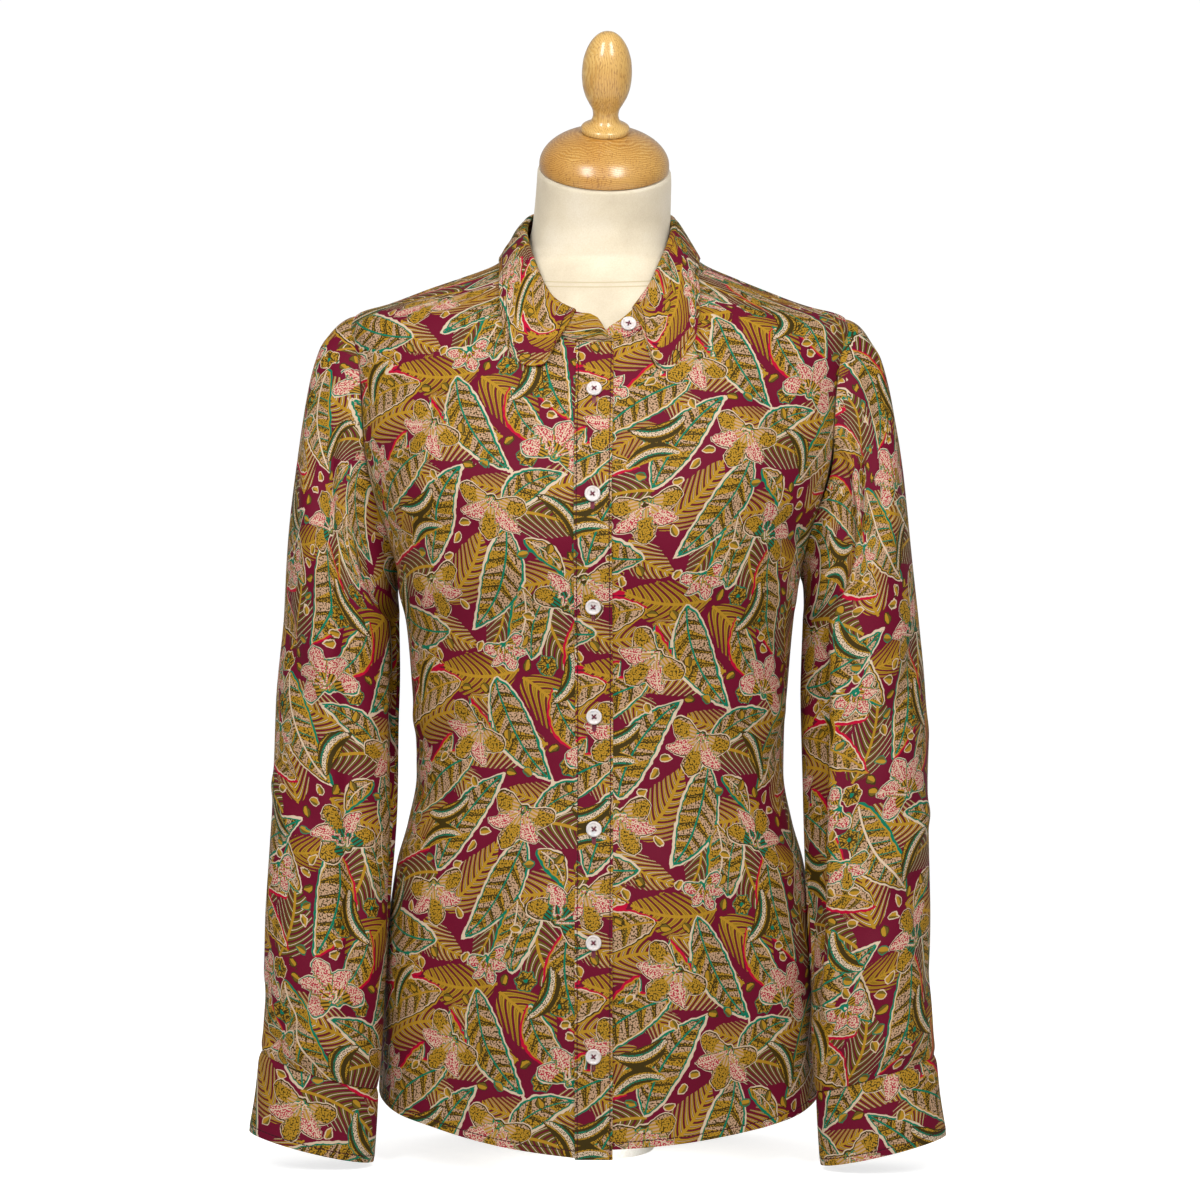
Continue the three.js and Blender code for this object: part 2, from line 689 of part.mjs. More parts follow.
function buttonShape() {
  const r = BUTTON_RADIUS;
  const t = BUTTON_THICK;
  const outline = [
    [0, 0], [r - 0.9, 0], [r, 0.7], [r, t - 0.6], [r - 0.6, t], [r - 1.3, t], [r - 2, t - 0.5], [0, t - 0.5],
  ];
  return new THREE.LatheGeometry(outline.map(([x, y]) => new THREE.Vector2(x, y)), 16);
}

// Heights of the placket's buttons, one pitch apart along the cloth.
function buttonLevels() {
  const levels = [TOP_BUTTON_Z];
  let z = TOP_BUTTON_Z;
  const step = 0.25;
  while (levels.length < BUTTON_COUNT) {
    let travelled = 0;
    while (travelled < BUTTON_PITCH) {
      travelled += bodyPoint(0, z).distanceTo(bodyPoint(0, z - step));
      z -= step;
    }
    levels.push(z);
  }
  return levels;
}

// ---------------------------------------------------------------- dress form

const BUST_LEVELS = [
  FORM_BASE_Z, 100, 144, 190, 219, 249, 286, 330, 370, 399, 430, 460, 490, 523, 550, 575, 597, 612, 622, 630,
  638, 646, 656,
];
const NECK_LEVELS = [668, 673, 680, 688, 697, 715, 732, NECK_TOP_Z];

// The bust's rings lie inside the shirt, and the neck's are ellipses that tip forwards as they rise.
function formBody() {
  const turns = steps(36).slice(0, -1).map((u) => 360 * u);
  const rings = [];
  for (const z of BUST_LEVELS)
    rings.push(turns.map((turn) => {
      const p = moved(onBody({ turn, z }), -FORM_INSET(z, "inset"));
      if (z === FORM_BASE_Z) p.z = FORM_BASE_Z;
      return p;
    }));
  for (const z of NECK_LEVELS) {
    const ring = readRing(NECK, z, "x y half deep tilt lean");
    const tilt = rad(ring.tilt);
    rings.push(turns.map((turn) => {
      const ahead = -ring.deep * Math.cos(rad(turn));
      const across = ring.half * Math.sin(rad(turn));
      const rise = ahead * Math.sin(tilt) - across * ring.lean;
      return vec(ring.x + across, ring.y + ahead * Math.cos(tilt), z + rise);
    }));
  }
  return solid(rings);
}

const lathe = (outline, segments) =>
  new THREE.LatheGeometry(outline.map(([r, h]) => new THREE.Vector2(r, h)), segments);

const CAP_RADIUS = 48.3;
const CAP_BAND = 3.2; // straight rim under the dome
const CAP_RISE = 27;
const CAP_TOP_RADIUS = 18.4;

function capOutline() {
  const outline = [[0, 0], [CAP_RADIUS - 0.8, 0], [CAP_RADIUS, 0.8], [CAP_RADIUS, CAP_BAND]];
  const last = Math.acos(CAP_TOP_RADIUS / CAP_RADIUS);
  for (const t of steps(8).slice(1)) {
    const a = last * t;
    outline.push([CAP_RADIUS * Math.cos(a), CAP_BAND + CAP_RISE * Math.sin(a)]);
  }
  outline.push([0, outline[outline.length - 1][1]]);
  return outline;
}

const FINIAL = [
  [0, 0], [16.8, 0], [17.8, 1.2], [18, 3.2], [17.3, 4.9], [15, 6], [12, 7.6], [10, 10.4], [9.4, 13.5],
  [10, 17.5], [12.6, 22.5], [15.8, 29], [17.8, 37], [18.4, 44.5], [17.9, 53], [16, 61], [12.8, 68],
  [8.4, 73.4], [4.2, 76], [0, 76.8],
];

// ---------------------------------------------------------------- the model

const finish = (color, roughness) => new THREE.MeshStandardMaterial({ color, roughness, metalness: 0 });
const COTTON = finish(0x7d6338, 0.85);
const PEARL = finish(0xece6dc, 0.3);
const JERSEY = finish(0xe9dcc0, 0.95);
const BEECH = finish(0xc98a48, 0.3);

const model = new THREE.Group();
model.name = "printed_shirt_on_dress_form";

function add(name, geometry, material) {
  const mesh = new THREE.Mesh(geometry, material);
  mesh.name = name;
  model.add(mesh);
  return mesh;
}

// A turned piece: its outline's height runs along `axis` from `place`.
function addTurned(name, geometry, material, place, axis) {
  const mesh = add(name, geometry, material);
  mesh.position.copy(place);
  mesh.quaternion.setFromUnitVectors(vec(0, 1, 0), axis);
}

for (const [name, side] of [["right", -1], ["left", 1]]) {
  add("front_" + name, front(side), COTTON);
  add("sleeve_" + name, sleeve(side), COTTON);
  add("cuff_" + name, cuff(side), COTTON);
}
add("back", back(), COTTON);
add("yoke", yoke(), COTTON);
add("placket", placket(), COTTON);
add("collar_stand", stand(), COTTON);
add("collar_leaf", leaf(), COTTON);

const BUTTON_OUT = FACED + 2 * SEAM;
buttonLevels().forEach((z, i) => {
  const place = onBody({ turn: 0, z });
  addTurned("button_" + (i + 1), buttonShape(), PEARL, moved(place, BUTTON_OUT), place.n);
});

const COLLAR_BUTTON_TURN = 19;
const COLLAR_BUTTON_SHARE = 0.55; // of the stand's height
const COLLAR_BUTTON_OUT = 0.9; // its flat back clears the curved stand

function addCollarButton() {
  const at = (dt, ds) => standPoint(COLLAR_BUTTON_TURN + dt, COLLAR_BUTTON_SHARE + ds);
  const across = at(1, 0).sub(at(-1, 0));
  const out = across.cross(at(0, 0.1).sub(at(0, -0.1))).normalize();
  addTurned("button_collar", buttonShape(), PEARL, at(0, 0).addScaledVector(out, COLLAR_BUTTON_OUT), out);
}

addCollarButton();

for (const [name, side] of [["right", -1], ["left", 1]]) {
  const middle = cuffGrid()[1];
  const place = middle[middle.length - 2];
  const seat = side > 0 ? place : mirrorPoint(place);
  addTurned("button_cuff_" + name, buttonShape(), PEARL, moved(seat, FACED + SEAM), seat.n);
}

add("form_body", formBody(), JERSEY);
const upright = Math.cos(rad(NECK_TILT));
const axis = vec(NECK_LEAN * upright, -Math.sin(rad(NECK_TILT)), upright).normalize();
const neckTop = vec(NECK(NECK_TOP_Z, "x"), NECK(NECK_TOP_Z, "y"), NECK_TOP_Z);
const capBase = neckTop.clone().addScaledVector(axis, SEAM);
addTurned("neck_cap", lathe(capOutline(), 40), BEECH, capBase, axis);
const capTop = capOutline().at(-1)[1];
addTurned("finial", lathe(FINIAL, 28), BEECH, capBase.clone().addScaledVector(axis, capTop + SEAM), axis);

const footShape = new THREE.Shape().absellipse(0, FOOT_Y, FOOT_HALF, FOOT_DEEP, 0, 2 * Math.PI);
add("form_foot", new THREE.ExtrudeGeometry(footShape, {
  depth: FORM_BASE_Z - SEAM, bevelEnabled: false, curveSegments: 18,
}), JERSEY);

export default model;
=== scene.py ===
# %% [markdown]
# # A printed shirt on a dress form
# The shirt is a woman's button front in thin printed cotton, worn on a limbless bust with a turned
# beech cap. Cloth can be simulated, sculpted or worked out. Here it is worked out: every panel is a
# smooth function of two numbers, read at a few thousand points with numpy. That keeps each seam where
# the pattern cutter put it, and it gives every point a known place on the flat cloth, which is what a
# print needs.

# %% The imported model, and its box
import math

import bpy
import numpy as np
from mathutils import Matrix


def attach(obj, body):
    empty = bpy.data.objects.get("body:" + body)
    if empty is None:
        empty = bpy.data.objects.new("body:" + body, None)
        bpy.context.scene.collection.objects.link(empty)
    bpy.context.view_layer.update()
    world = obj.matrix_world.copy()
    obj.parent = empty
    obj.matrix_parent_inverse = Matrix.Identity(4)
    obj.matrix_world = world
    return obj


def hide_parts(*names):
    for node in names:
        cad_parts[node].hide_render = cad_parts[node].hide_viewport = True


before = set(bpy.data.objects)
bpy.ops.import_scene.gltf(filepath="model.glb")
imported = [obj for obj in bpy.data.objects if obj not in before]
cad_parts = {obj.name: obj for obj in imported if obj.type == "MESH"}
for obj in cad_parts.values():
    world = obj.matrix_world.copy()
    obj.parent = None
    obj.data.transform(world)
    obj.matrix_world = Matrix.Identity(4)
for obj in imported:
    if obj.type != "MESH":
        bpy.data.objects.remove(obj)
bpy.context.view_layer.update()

# %% [markdown]
# ## Camera
# A long lens a good way off keeps the two sleeves alike in size, as in a catalogue view. The camera
# stands level, at half the height of the whole, and a little to the wearer's left of the middle.

# %% Camera
CAMERA_TURN = math.radians(2.2)
CAMERA_AWAY = 2.5
CAMERA_HEIGHT = 0.414

lens = bpy.data.cameras.new("camera")
lens.lens = 100
lens.sensor_width = 36
camera = bpy.data.objects.new("camera", lens)
camera.location = (math.sin(CAMERA_TURN) * CAMERA_AWAY, -math.cos(CAMERA_TURN) * CAMERA_AWAY, CAMERA_HEIGHT)
camera.rotation_euler = (math.pi / 2, 0, CAMERA_TURN)
bpy.context.scene.collection.objects.link(camera)
bpy.context.scene.camera = camera
bpy.context.scene.view_settings.view_transform = "Standard"
print("camera", [round(c, 3) for c in camera.location])

# %% [markdown]
# ## Colours and nodes
# A dye or a varnish is matched in sRGB, and the renderer works in linear light, so one function
# turns a hex value into linear numbers. A second small function adds a node, sets what it is told, and
# links what it is given.

# %% Helpers for materials
def linear(colour):
    """A hex sRGB colour as linear RGBA: v / 12.92 below 0.04045, else ((v + 0.055) / 1.055) ^ 2.4."""
    v = np.array([int(colour[i:i + 2], 16) for i in (1, 3, 5)]) / 255
    return (*np.where(v <= 0.04045, v / 12.92, ((v + 0.055) / 1.055) ** 2.4), 1.0)


def add(tree, kind, inputs=None, stops=(), **settings):
    """Adds a node. Settings go on the node; inputs go on its sockets, as values or as sockets to link. A
    colour ramp also gets its stops, rows of (place, colour)."""
    made = tree.nodes.new(kind)
    for key, value in settings.items():
        setattr(made, key, value)
    for key, value in (inputs or {}).items():
        if isinstance(value, bpy.types.NodeSocket):
            tree.links.new(value, made.inputs[key])
        else:
            made.inputs[key].default_value = value
    for _ in stops[2:]:
        made.color_ramp.elements.new(0.5)
    if stops:
        for element, (place, colour) in zip(made.color_ramp.elements, stops):
            element.position = place
            element.color = linear(colour)
    return made


def new_material(name, finish):
    """An empty material with an output and a Principled shader, linked. The finish is what the shader's
    own sockets are set to."""
    material = bpy.data.materials.new(name)
    material.use_nodes = True
    tree = material.node_tree
    tree.nodes.clear()
    shader = add(tree, "ShaderNodeBsdfPrincipled", finish)
    add(tree, "ShaderNodeOutputMaterial", {"Surface": shader.outputs[0]})
    return material, tree, shader


MATH, VECTOR, MIX, RAMP = "ShaderNodeMath", "ShaderNodeVectorMath", "ShaderNodeMix", "ShaderNodeValToRGB"
LESS, MORE = "LESS_THAN", "GREATER_THAN"
print("a middle grey is", round(float(linear("#808080")[0]), 3), "in linear light")

# %% [markdown]
# ## Tables that read as smooth curves
# A pattern cutter notes a few measures and joins them by eye with a fair curve. A monotone cubic does
# the same: it passes through every row and never swings beyond them, as a plain spline would.

# %% Tables and small maths
def table(columns, rows):
    """A lookup (name, key): a cubic through the rows, whose slope at a row is the harmonic mean of the
    rises on its two sides, or 0 at a turning point."""
    names = columns.split()
    rows = np.array(rows, float)
    keys = rows[:, 0]
    steps = np.diff(keys)
    rise = np.diff(rows, axis=0) / steps[:, None]
    before, after = rise[:-1], rise[1:]
    total = np.where(before + after == 0, 1, before + after)
    mean = np.where(before * after > 0, 2 * before * after / total, 0)
    slopes = np.vstack([rise[:1], mean, rise[-1:]])

    def read(name, key):
        """The column's value at a key; past the last row it stays as it is there."""
        column = names.index(name)
        key = np.clip(key, keys[0], keys[-1])
        i = np.clip(np.searchsorted(keys, key, side="right") - 1, 0, len(steps) - 1)
        t = (key - keys[i]) / steps[i]
        start, end = slopes[i, column] * steps[i], slopes[i + 1, column] * steps[i]
        value = rows[i, column] * (1 + 2 * t) * (1 - t) ** 2 + rows[i + 1, column] * t * t * (3 - 2 * t)
        return value + t * (1 - t) * ((1 - t) * start - t * end)

    return read


def sin(degrees):
    """The sine of an angle in degrees."""
    return np.sin(np.radians(degrees))


def cos(degrees):
    """The cosine of an angle in degrees."""
    return np.cos(np.radians(degrees))


def power(value, exponent):
    """Raises the size of a value to a power and keeps its sign."""
    return np.sign(value) * np.abs(value) ** exponent


def mix(a, b, t):
    """a at t = 0, b at t = 1, and a straight line between."""
    return a + (b - a) * t


def smooth_step(value, low, high):
    """0 below low, 1 above high, and 3t^2 - 2t^3 between."""
    t = np.clip((value - low) / (high - low), 0, 1)
    return t * t * (3 - 2 * t)


def unit(v):
    """A vector shortened or drawn out to length 1."""
    return v / np.maximum(np.linalg.norm(v, axis=-1, keepdims=True), 1e-9)


def span(length):
    """How many points a grid needs so that neighbours on it are SPACING apart."""
    return int(round(length / SPACING)) + 1


SPACING = 2.6 # mm between the points of the cloth's grids
print("a metre of cloth has", span(1000), "points along it")

# %% [markdown]
# ## The shape of the worn shirt
# The shirt's body is one closed shape. At each height its plan is a squarish ellipse, with its own
# half width and its own depth in front and behind. All lengths are in millimetres. A turn is an angle
# about the upright axis: 0 at the centre front, 90 at the wearer's left side, 180 at the centre back.

# %% The body's sections
BODY = table("z half front back square", [
    [0, 165, 118, 121, 2.3],
    [50, 165, 118, 121, 2.3],
    [90, 164, 119, 124, 2.3],
    [144, 161.5, 119, 126, 2.3],
    [190, 156, 117, 121, 2.3],
    [219, 151.5, 114, 113, 2.3],
    [249, 143.5, 110.5, 103, 2.3],
    [286, 137.3, 108, 93, 2.3],
    [314, 137.6, 108, 90, 2.3],
    [354, 140.6, 111, 92, 2.3],
    [399, 145, 121, 98, 2.3],
    [430, 150, 130, 103, 2.3],
    [460, 158.5, 136, 107, 2.3],
    [490, 170, 135, 110.5, 2.3],
    [523, 179.5, 126, 113, 2.3],
    [561, 185, 108, 112, 2.25],
    [590, 187.5, 94, 107, 2.2],
    [606, 188, 86, 102, 2.15],
    [616, 187.5, 81, 98.5, 2.1],
    [626, 181.5, 75.5, 94, 1.95],
    [636, 158.5, 69.5, 88.5, 1.8],
    [646, 132, 63.5, 81.5, 1.72],
    [656, 104, 57.5, 74, 1.7],
    [667, 77, 51.5, 65.5, 1.75],
    [680, 62, 49, 55, 1.85],
    [700, 52, 47, 44, 2],
])
HEM = table("turn z", [
    [0, 14], [18, 20.5], [33, 27.5], [45, 33], [60, 38], [75, 44.5], [90, 50], [105, 45], [120, 34],
    [140, 17], [160, 8], [180, 6],
])
UNDERARM_Z, ARMHOLE_TOP_Z = 430, 625
ARMHOLE_FRONT, ARMHOLE_BACK = 44, 46
SHOULDER_SEAM_Y = -14
YOKE_Z = 590
LEFT_DROP = 4 # the left shoulder hangs this much lower


def body_point(turn, z):
    """x = half * sin^(2/n) and y = -depth * cos^(2/n), where n says how square the plan is."""
    c = cos(turn)
    square = BODY("square", z)
    depth = np.where(c < 0, BODY("back", z), BODY("front", z))
    x = BODY("half", z) * power(sin(turn), 2 / square)
    drop = LEFT_DROP * smooth_step(x, 40, 150) * smooth_step(z, 500, 640)
    return np.stack([x, -depth * power(c, 2 / square), z - drop], -1)


def body_normal(turn, z):
    """The cross product of a short step round the body and a short step up it."""
    across = body_point(turn + 0.6, z) - body_point(turn - 0.6, z)
    return unit(np.cross(across, body_point(turn, z + 0.6) - body_point(turn, z - 0.6)))


def turn_at(x, z, back=False):
    """The turn of the point of level z that has this x: the body's formula solved for the turn."""
    share = np.minimum(np.abs(x) / BODY("half", z), 1) ** (BODY("square", z) / 2)
    turn = np.degrees(np.arcsin(share)) * np.where(x < 0, -1, 1)
    return np.where(back, 180 - turn, turn)


def lift(x, y):
    """The (turn, z) of the shoulder's surface above the plan's point (x, y), by halving an interval."""
    low, high = np.full(np.shape(x), 575.0), np.full(np.shape(x), 700.0)
    for _ in range(22):
        z = (low + high) / 2
        depth = np.where(y > 0, BODY("back", z), BODY("front", z))
        square = BODY("square", z)
        inside = (np.abs(x) / BODY("half", z)) ** square + (np.abs(y) / depth) ** square < 1
        low, high = np.where(inside, z, low), np.where(inside, high, z)
    return turn_at(x, low, y > 0), low


def armhole(round_):
    """A (turn, z) on the left armhole, an ellipse in side view: 0 is its top, 90 its front, 180 its foot."""
    middle, high = (UNDERARM_Z + ARMHOLE_TOP_Z) / 2, (ARMHOLE_TOP_Z - UNDERARM_Z) / 2
    s = sin(round_)
    z = middle + high * cos(round_)
    reach = np.where(s > 0, ARMHOLE_FRONT, ARMHOLE_BACK) * np.abs(s)
    depth = np.where(s < 0, BODY("back", z), BODY("front", z))
    turn = np.degrees(np.arccos((reach / depth) ** (BODY("square", z) / 2)))
    return np.where(s < 0, 180 - turn, turn), z


print("waist girth", round(float(np.linalg.norm(np.diff(body_point(
    np.linspace(0, 360, 361), np.full(361, 300.0)), axis=0), axis=1).sum())), "mm")

# %% The neck seam
COLLAR_Y = -15 # centre of the collar's rings
NECK_HALF, NECK_DEEP, NECK_SQUARE = 68, 74, 2.5


def neck_seam(turn):
    """The neck seam's (turn, z): a squarish ring in plan, laid on the shoulders."""
    x = NECK_HALF * power(sin(turn), 2 / NECK_SQUARE)
    return lift(x, COLLAR_Y - NECK_DEEP * power(cos(turn), 2 / NECK_SQUARE))


def neck_turn_at_x(x):
    """The turn at which the neck seam has this x, in front: its formula solved for the turn."""
    return np.degrees(np.arcsin(power(x / NECK_HALF, NECK_SQUARE / 2)))


def neck_turn_at_y(y):
    """The turn at which the neck seam has this y, on the left."""
    return 90 + np.degrees(np.arcsin(power((y - COLLAR_Y) / NECK_DEEP, NECK_SQUARE / 2)))


FRONT_ROUND = float(np.degrees(np.arcsin(-SHOULDER_SEAM_Y / ARMHOLE_FRONT)))
BACK_ROUND = -float(np.degrees(np.arccos(
    (YOKE_Z - (UNDERARM_Z + ARMHOLE_TOP_Z) / 2) / ((ARMHOLE_TOP_Z - UNDERARM_Z) / 2))))
print("the yoke meets the armhole at", round(FRONT_ROUND), "and", round(BACK_ROUND), "degrees")

# %% [markdown]
# ## Where a point lies on the flat cloth
# A print runs straight on the bolt, so it has to be read at cloth coordinates: how far a point is
# across from the middle of its panel and how far up from the hem, measured over the cloth itself. An
# unwrap by hand would do it; adding up short steps along the surface is exact enough and needs no hand.

# %% Cloth coordinates of the body's panels
SHOULDER_START = 560 # above this level the cloth is measured straight back over the shoulder


def path_length(points):
    """The length of paths whose points are the next-to-last axis."""
    return np.linalg.norm(np.diff(points, axis=-2), axis=-1).sum(-1)


def running_length(points):
    """How far along a path each of its points lies."""
    return np.concatenate([[0], np.cumsum(np.linalg.norm(np.diff(points, axis=0), axis=1))])


def cloth_place(turn, z, middle):
    """(across, up): across is the arc at level z from the panel's middle turn. Up is the arc at this
    turn from z = 0, and over the shoulder the arc at this x."""
    t = np.linspace(0, 1, 33)
    turns = middle + (turn[..., None] - middle) * t
    across = path_length(body_point(turns, z[..., None] + 0 * t)) * np.sign(turn - middle)
    low = np.minimum(z, SHOULDER_START)[..., None] * t
    up = path_length(body_point(turn[..., None] + 0 * t, low))
    x = np.abs(body_point(turn, z)[..., 0])[..., None]
    levels = SHOULDER_START + np.maximum(z - SHOULDER_START, 0)[..., None] * t
    square = BODY("square", levels)
    share = np.clip(1 - np.minimum(x / BODY("half", levels), 1) ** square, 0, 1)
    depth = np.where(np.abs(turn[..., None]) > 90, BODY("back", levels), BODY("front", levels))
    over = path_length(np.stack([levels, depth * share ** (1 / square)], -1))
    return np.stack([across, up + over], -1)


print("the neck is", round(float(cloth_place(*map(np.array, neck_seam(90.0)), 90.0)[1])), "mm up the cloth")


# %% [markdown]
# ## The print
# The cloth is covered in foliage on burgundy: long leaves with veins, drooping blooms, ferns and small
# sprigs, each drawn with a pale or coloured outline and filled with dots and fine hatching. The motifs
# here are a generic planting of the same kinds, strewn over a repeat of their own. Each one is a formula
# that gives three numbers at a point of the cloth: the distance to its outline (negative inside), how
# far along it the point lies and how far across. The mesh stores those numbers, and the shader draws
# outlines, veins, dots and hatching from them, finer than the mesh could.

# %% Motif formulas
def leaf_shape(a, b, length, half, bend):
    """A leaf along a, with s the share of its length: its middle line is the arc bend * 4s(1 - s), and its
    half width is half * sin(pi s^0.8)^0.85."""
    s = np.clip(a / length, 0, 1)
    t = b - bend * 4 * s * (1 - s)
    past = np.maximum(np.maximum(-a, a - length), 0)
    width = half * np.sin(np.pi * s ** 0.8) ** 0.85
    distance = np.where(past > 0, np.hypot(past, t), (np.abs(t) - width) * 0.9)
    return distance, a, t / half


def flower_shape(a, b, length, half, bend):
    """Five petals fanned 38 degrees apart from a base, or a ring of six in a floret. In each petal's
    sector the shape is a leaf that widens towards its tip and curls outwards by `bend`. Outer petals of
    a bloom have 20 added to their `along`."""
    bloom = half > 12
    pitch = math.radians(38 if bloom else 60)
    a = a - (length * 0.2 if bloom else length / 2)
    r, angle = np.hypot(a, b), np.arctan2(b, a)
    petal = np.clip(np.round(angle / pitch), -2, 2) if bloom else np.round(angle / pitch)
    local = angle - petal * pitch
    reach = half * (1.5 - 0.16 * np.abs(petal)) if bloom else half + 0 * r
    along = r * np.cos(local)
    s = np.clip(along / reach, 0, 1)
    side = r * np.sin(local) - bend * np.sign(petal) * s * s * bloom
    width = half * 0.47 * np.sin(np.pi * s ** 1.5) ** 0.62
    past = np.hypot(np.maximum(along - reach, 0), side)
    edge = np.where(along > reach, past, np.where(along < 0, r, np.abs(side) - width))
    distance = np.minimum(edge, r - 0.2 * half)
    outer = 20 * (np.abs(petal) % 2 == 0) * bloom
    return distance, r / half * 10 + outer, side / (half * 0.47)


SHAPES = {"leaf": leaf_shape, "flower": flower_shape}
print("kinds of motif:", *SHAPES)

# %% Strewing the repeat
REPEAT = np.array([212.0, 226.0]) # mm, across and up
# A layer's kinds, largest first: shape, count, length, half width, bend, and the first of its four looks.
PLANTING = {
    "fern": [("leaf", 12, 66, 18, 7, 0), ("leaf", 9, 46, 13, -5, 0)],
    "foliage": [("leaf", 8, 88, 16, 9, 0), ("leaf", 6, 62, 12, -8, 0), ("leaf", 5, 38, 8, 5, 0)],
    "sprig": [("flower", 34, 16, 8, 0, 0), ("leaf", 56, 10, 3.2, 0.8, 4)],
    "bloom": [("flower", 5, 46, 21, 6, 0), ("flower", 4, 32, 14, 4, 0), ("leaf", 6, 44, 8, 9, 4)],
}
# Millimetres between neighbours of a layer, and between them and what was planted before. A negative
# number lets them overlap.
APART = {"bloom": (-2.0, 0.0), "foliage": (-1.5, -7.0), "fern": (-5.0, -9.0), "sprig": (0.2, -3.0)}
TRIES = 240 # random places that each motif is tried at
dice = np.random.default_rng(23)


def strew(kinds, apart, taken):
    """Places each motif at the one of many random tries that is furthest from its neighbours. A motif
    is compared as a chain of discs, and the repeat wraps round."""
    motifs, discs = [], np.zeros((0, 3))
    for shape, count, length, half, bend, look in kinds:
        radius = half if shape == "flower" else half * 0.72
        reach = 0 if shape == "flower" else length / 2 - radius
        for _ in range(count):
            middle = dice.random((TRIES, 1, 2)) * REPEAT
            angle = dice.random(TRIES) * 2 * np.pi
            way = np.stack([np.cos(angle), np.sin(angle)], -1)[:, None]
            chain = middle + np.linspace(-reach, reach, 9)[:, None] * way
            look_now = look + int(dice.integers(4))
            bend_now = bend * float(dice.choice([-1, 1])) if shape == "leaf" else bend
            room = []
            for others, of_chain, wanted in ((discs, np.min, apart[0]), (taken, np.mean, apart[1])):
                gap = chain[:, :, None] - others[:, :2]
                gap = np.abs((gap + REPEAT / 2) % REPEAT - REPEAT / 2)
                free = np.hypot(gap[..., 0], gap[..., 1]) - others[:, 2] - radius
                room.append(of_chain(free, 1).min(1, initial=1e3) - wanted)
            best = int(np.argmax(np.minimum(*room)))
            if min(room[0][best], room[1][best]) < 0:
                continue
            discs = np.vstack([discs, np.column_stack([chain[best], np.full(9, radius)])])
            motifs.append((shape, middle[best, 0], angle[best], length, half, bend_now, look_now))
    return motifs, discs


planting, taken = {}, np.zeros((0, 3))
for layer, apart in APART.items():
    planting[layer], discs = strew(PLANTING[layer], apart, taken)
    taken = np.vstack([taken, discs])
planting = {layer: planting[layer] for layer in PLANTING}
print({layer: len(motifs) for layer, motifs in planting.items()})

# %% Reading the print at points of the cloth
FAR = 9.0 # mm; distances beyond this aren't kept


def read_layer(place, motifs):
    """(distance, along, across) and the look of the nearest motif, at each (across, up) of the cloth."""
    flat = place.reshape(-1, 2)
    field = np.tile([FAR, 0, 0, 0.0], (len(flat), 1))
    for shape, middle, angle, length, half, bend, look in motifs:
        offset = (flat - middle + REPEAT / 2) % REPEAT - REPEAT / 2
        a = offset @ (math.cos(angle), math.sin(angle)) + length / 2
        b = offset @ (-math.sin(angle), math.cos(angle))
        near = (np.abs(a - length / 2) < length / 2 + FAR) & (np.abs(b) < half + abs(bend) + FAR)
        near = np.flatnonzero(near)
        made = SHAPES[shape](a[near], b[near], length, half, bend)
        closer = made[0] < field[near, 0]
        values = np.stack([*made, np.full(len(near), float(look))], -1)
        field[near[closer]] = values[closer]
    return field.reshape(*place.shape[:-1], 4)


for layer, motifs in planting.items():
    nearest = read_layer(np.zeros((1, 2)), motifs)[0, 0]
    print(f"{nearest:.1f} mm from the repeat's corner to a motif of the layer {layer}")


# %% [markdown]
# ## From a grid of points to a piece of cloth
# Cloth is a thin wall: an outer grid, an inner grid one thickness behind it, and a rim. Solidify would
# make the wall too, but building it here lets the wrong side know that it is the wrong side, where the
# print shows only faintly. A tube's last column is the same as its first; their points are shared so
# that the tube is closed, while each face corner keeps its own place on the cloth, so that the print
# may break at the seam as it does on a real sleeve.

# %% Walls
def grid_normals(points):
    """Unit cross product of the grid's two directions, each by central differences."""
    return unit(np.cross(np.gradient(points, axis=1), np.gradient(points, axis=0)))


def lengths(points, axis):
    """The distance of each grid point from the first edge and from the last, along the axis."""
    steps = np.linalg.norm(np.diff(points, axis=axis), axis=-1)
    pad = [(1, 0) if i == axis else (0, 0) for i in (0, 1)]
    run = np.cumsum(np.pad(steps, pad), axis=axis)
    return run, run.take([-1], axis=axis) - run


def wall_faces(rows, columns):
    """Quads of a closed wall over a grid: the outer ones, the same reversed, and the rim."""
    grid = np.arange(rows * columns).reshape(rows, columns)
    back = rows * columns
    outer = np.stack([grid[:-1, :-1], grid[:-1, 1:], grid[1:, 1:], grid[1:, :-1]], -1).reshape(-1, 4)
    edges = [grid[0, ::-1], grid[-1, :], grid[:, 0], grid[::-1, -1]]
    rim = [np.stack([e[:-1], e[1:], e[1:] + back, e[:-1] + back], -1) for e in edges]
    return outer, outer[:, ::-1] + back, rim


def build_mesh(name, points, faces, fields=None, uv=None):
    """A mesh object from points in millimetres, quads, and values given at each face's corner."""
    mesh = bpy.data.meshes.new(name)
    corners = faces.ravel()
    mesh.vertices.add(len(points))
    mesh.vertices.foreach_set("co", (points / 1000).astype(np.float32).ravel())
    mesh.loops.add(len(corners))
    mesh.polygons.add(len(faces))
    mesh.polygons.foreach_set("loop_start", np.arange(len(faces)) * 4)
    mesh.loops.foreach_set("vertex_index", corners.astype(np.int32))
    mesh.update(calc_edges=True)
    for key, values in (fields or {}).items():
        kind = "FLOAT_VECTOR" if values.ndim == 2 else "FLOAT"
        held = mesh.attributes.new(key, kind, "CORNER")
        held.data.foreach_set("vector" if values.ndim == 2 else "value", values.astype(np.float32).ravel())
    if uv is not None:
        layer = mesh.uv_layers.new(name="cloth")
        layer.data.foreach_set("uv", uv.astype(np.float32).ravel())
    mesh.validate()
    mesh.shade_smooth()
    mesh.set_sharp_from_angle(angle=math.radians(55))
    made = bpy.data.objects.new(name, mesh)
    bpy.context.scene.collection.objects.link(made)
    return made


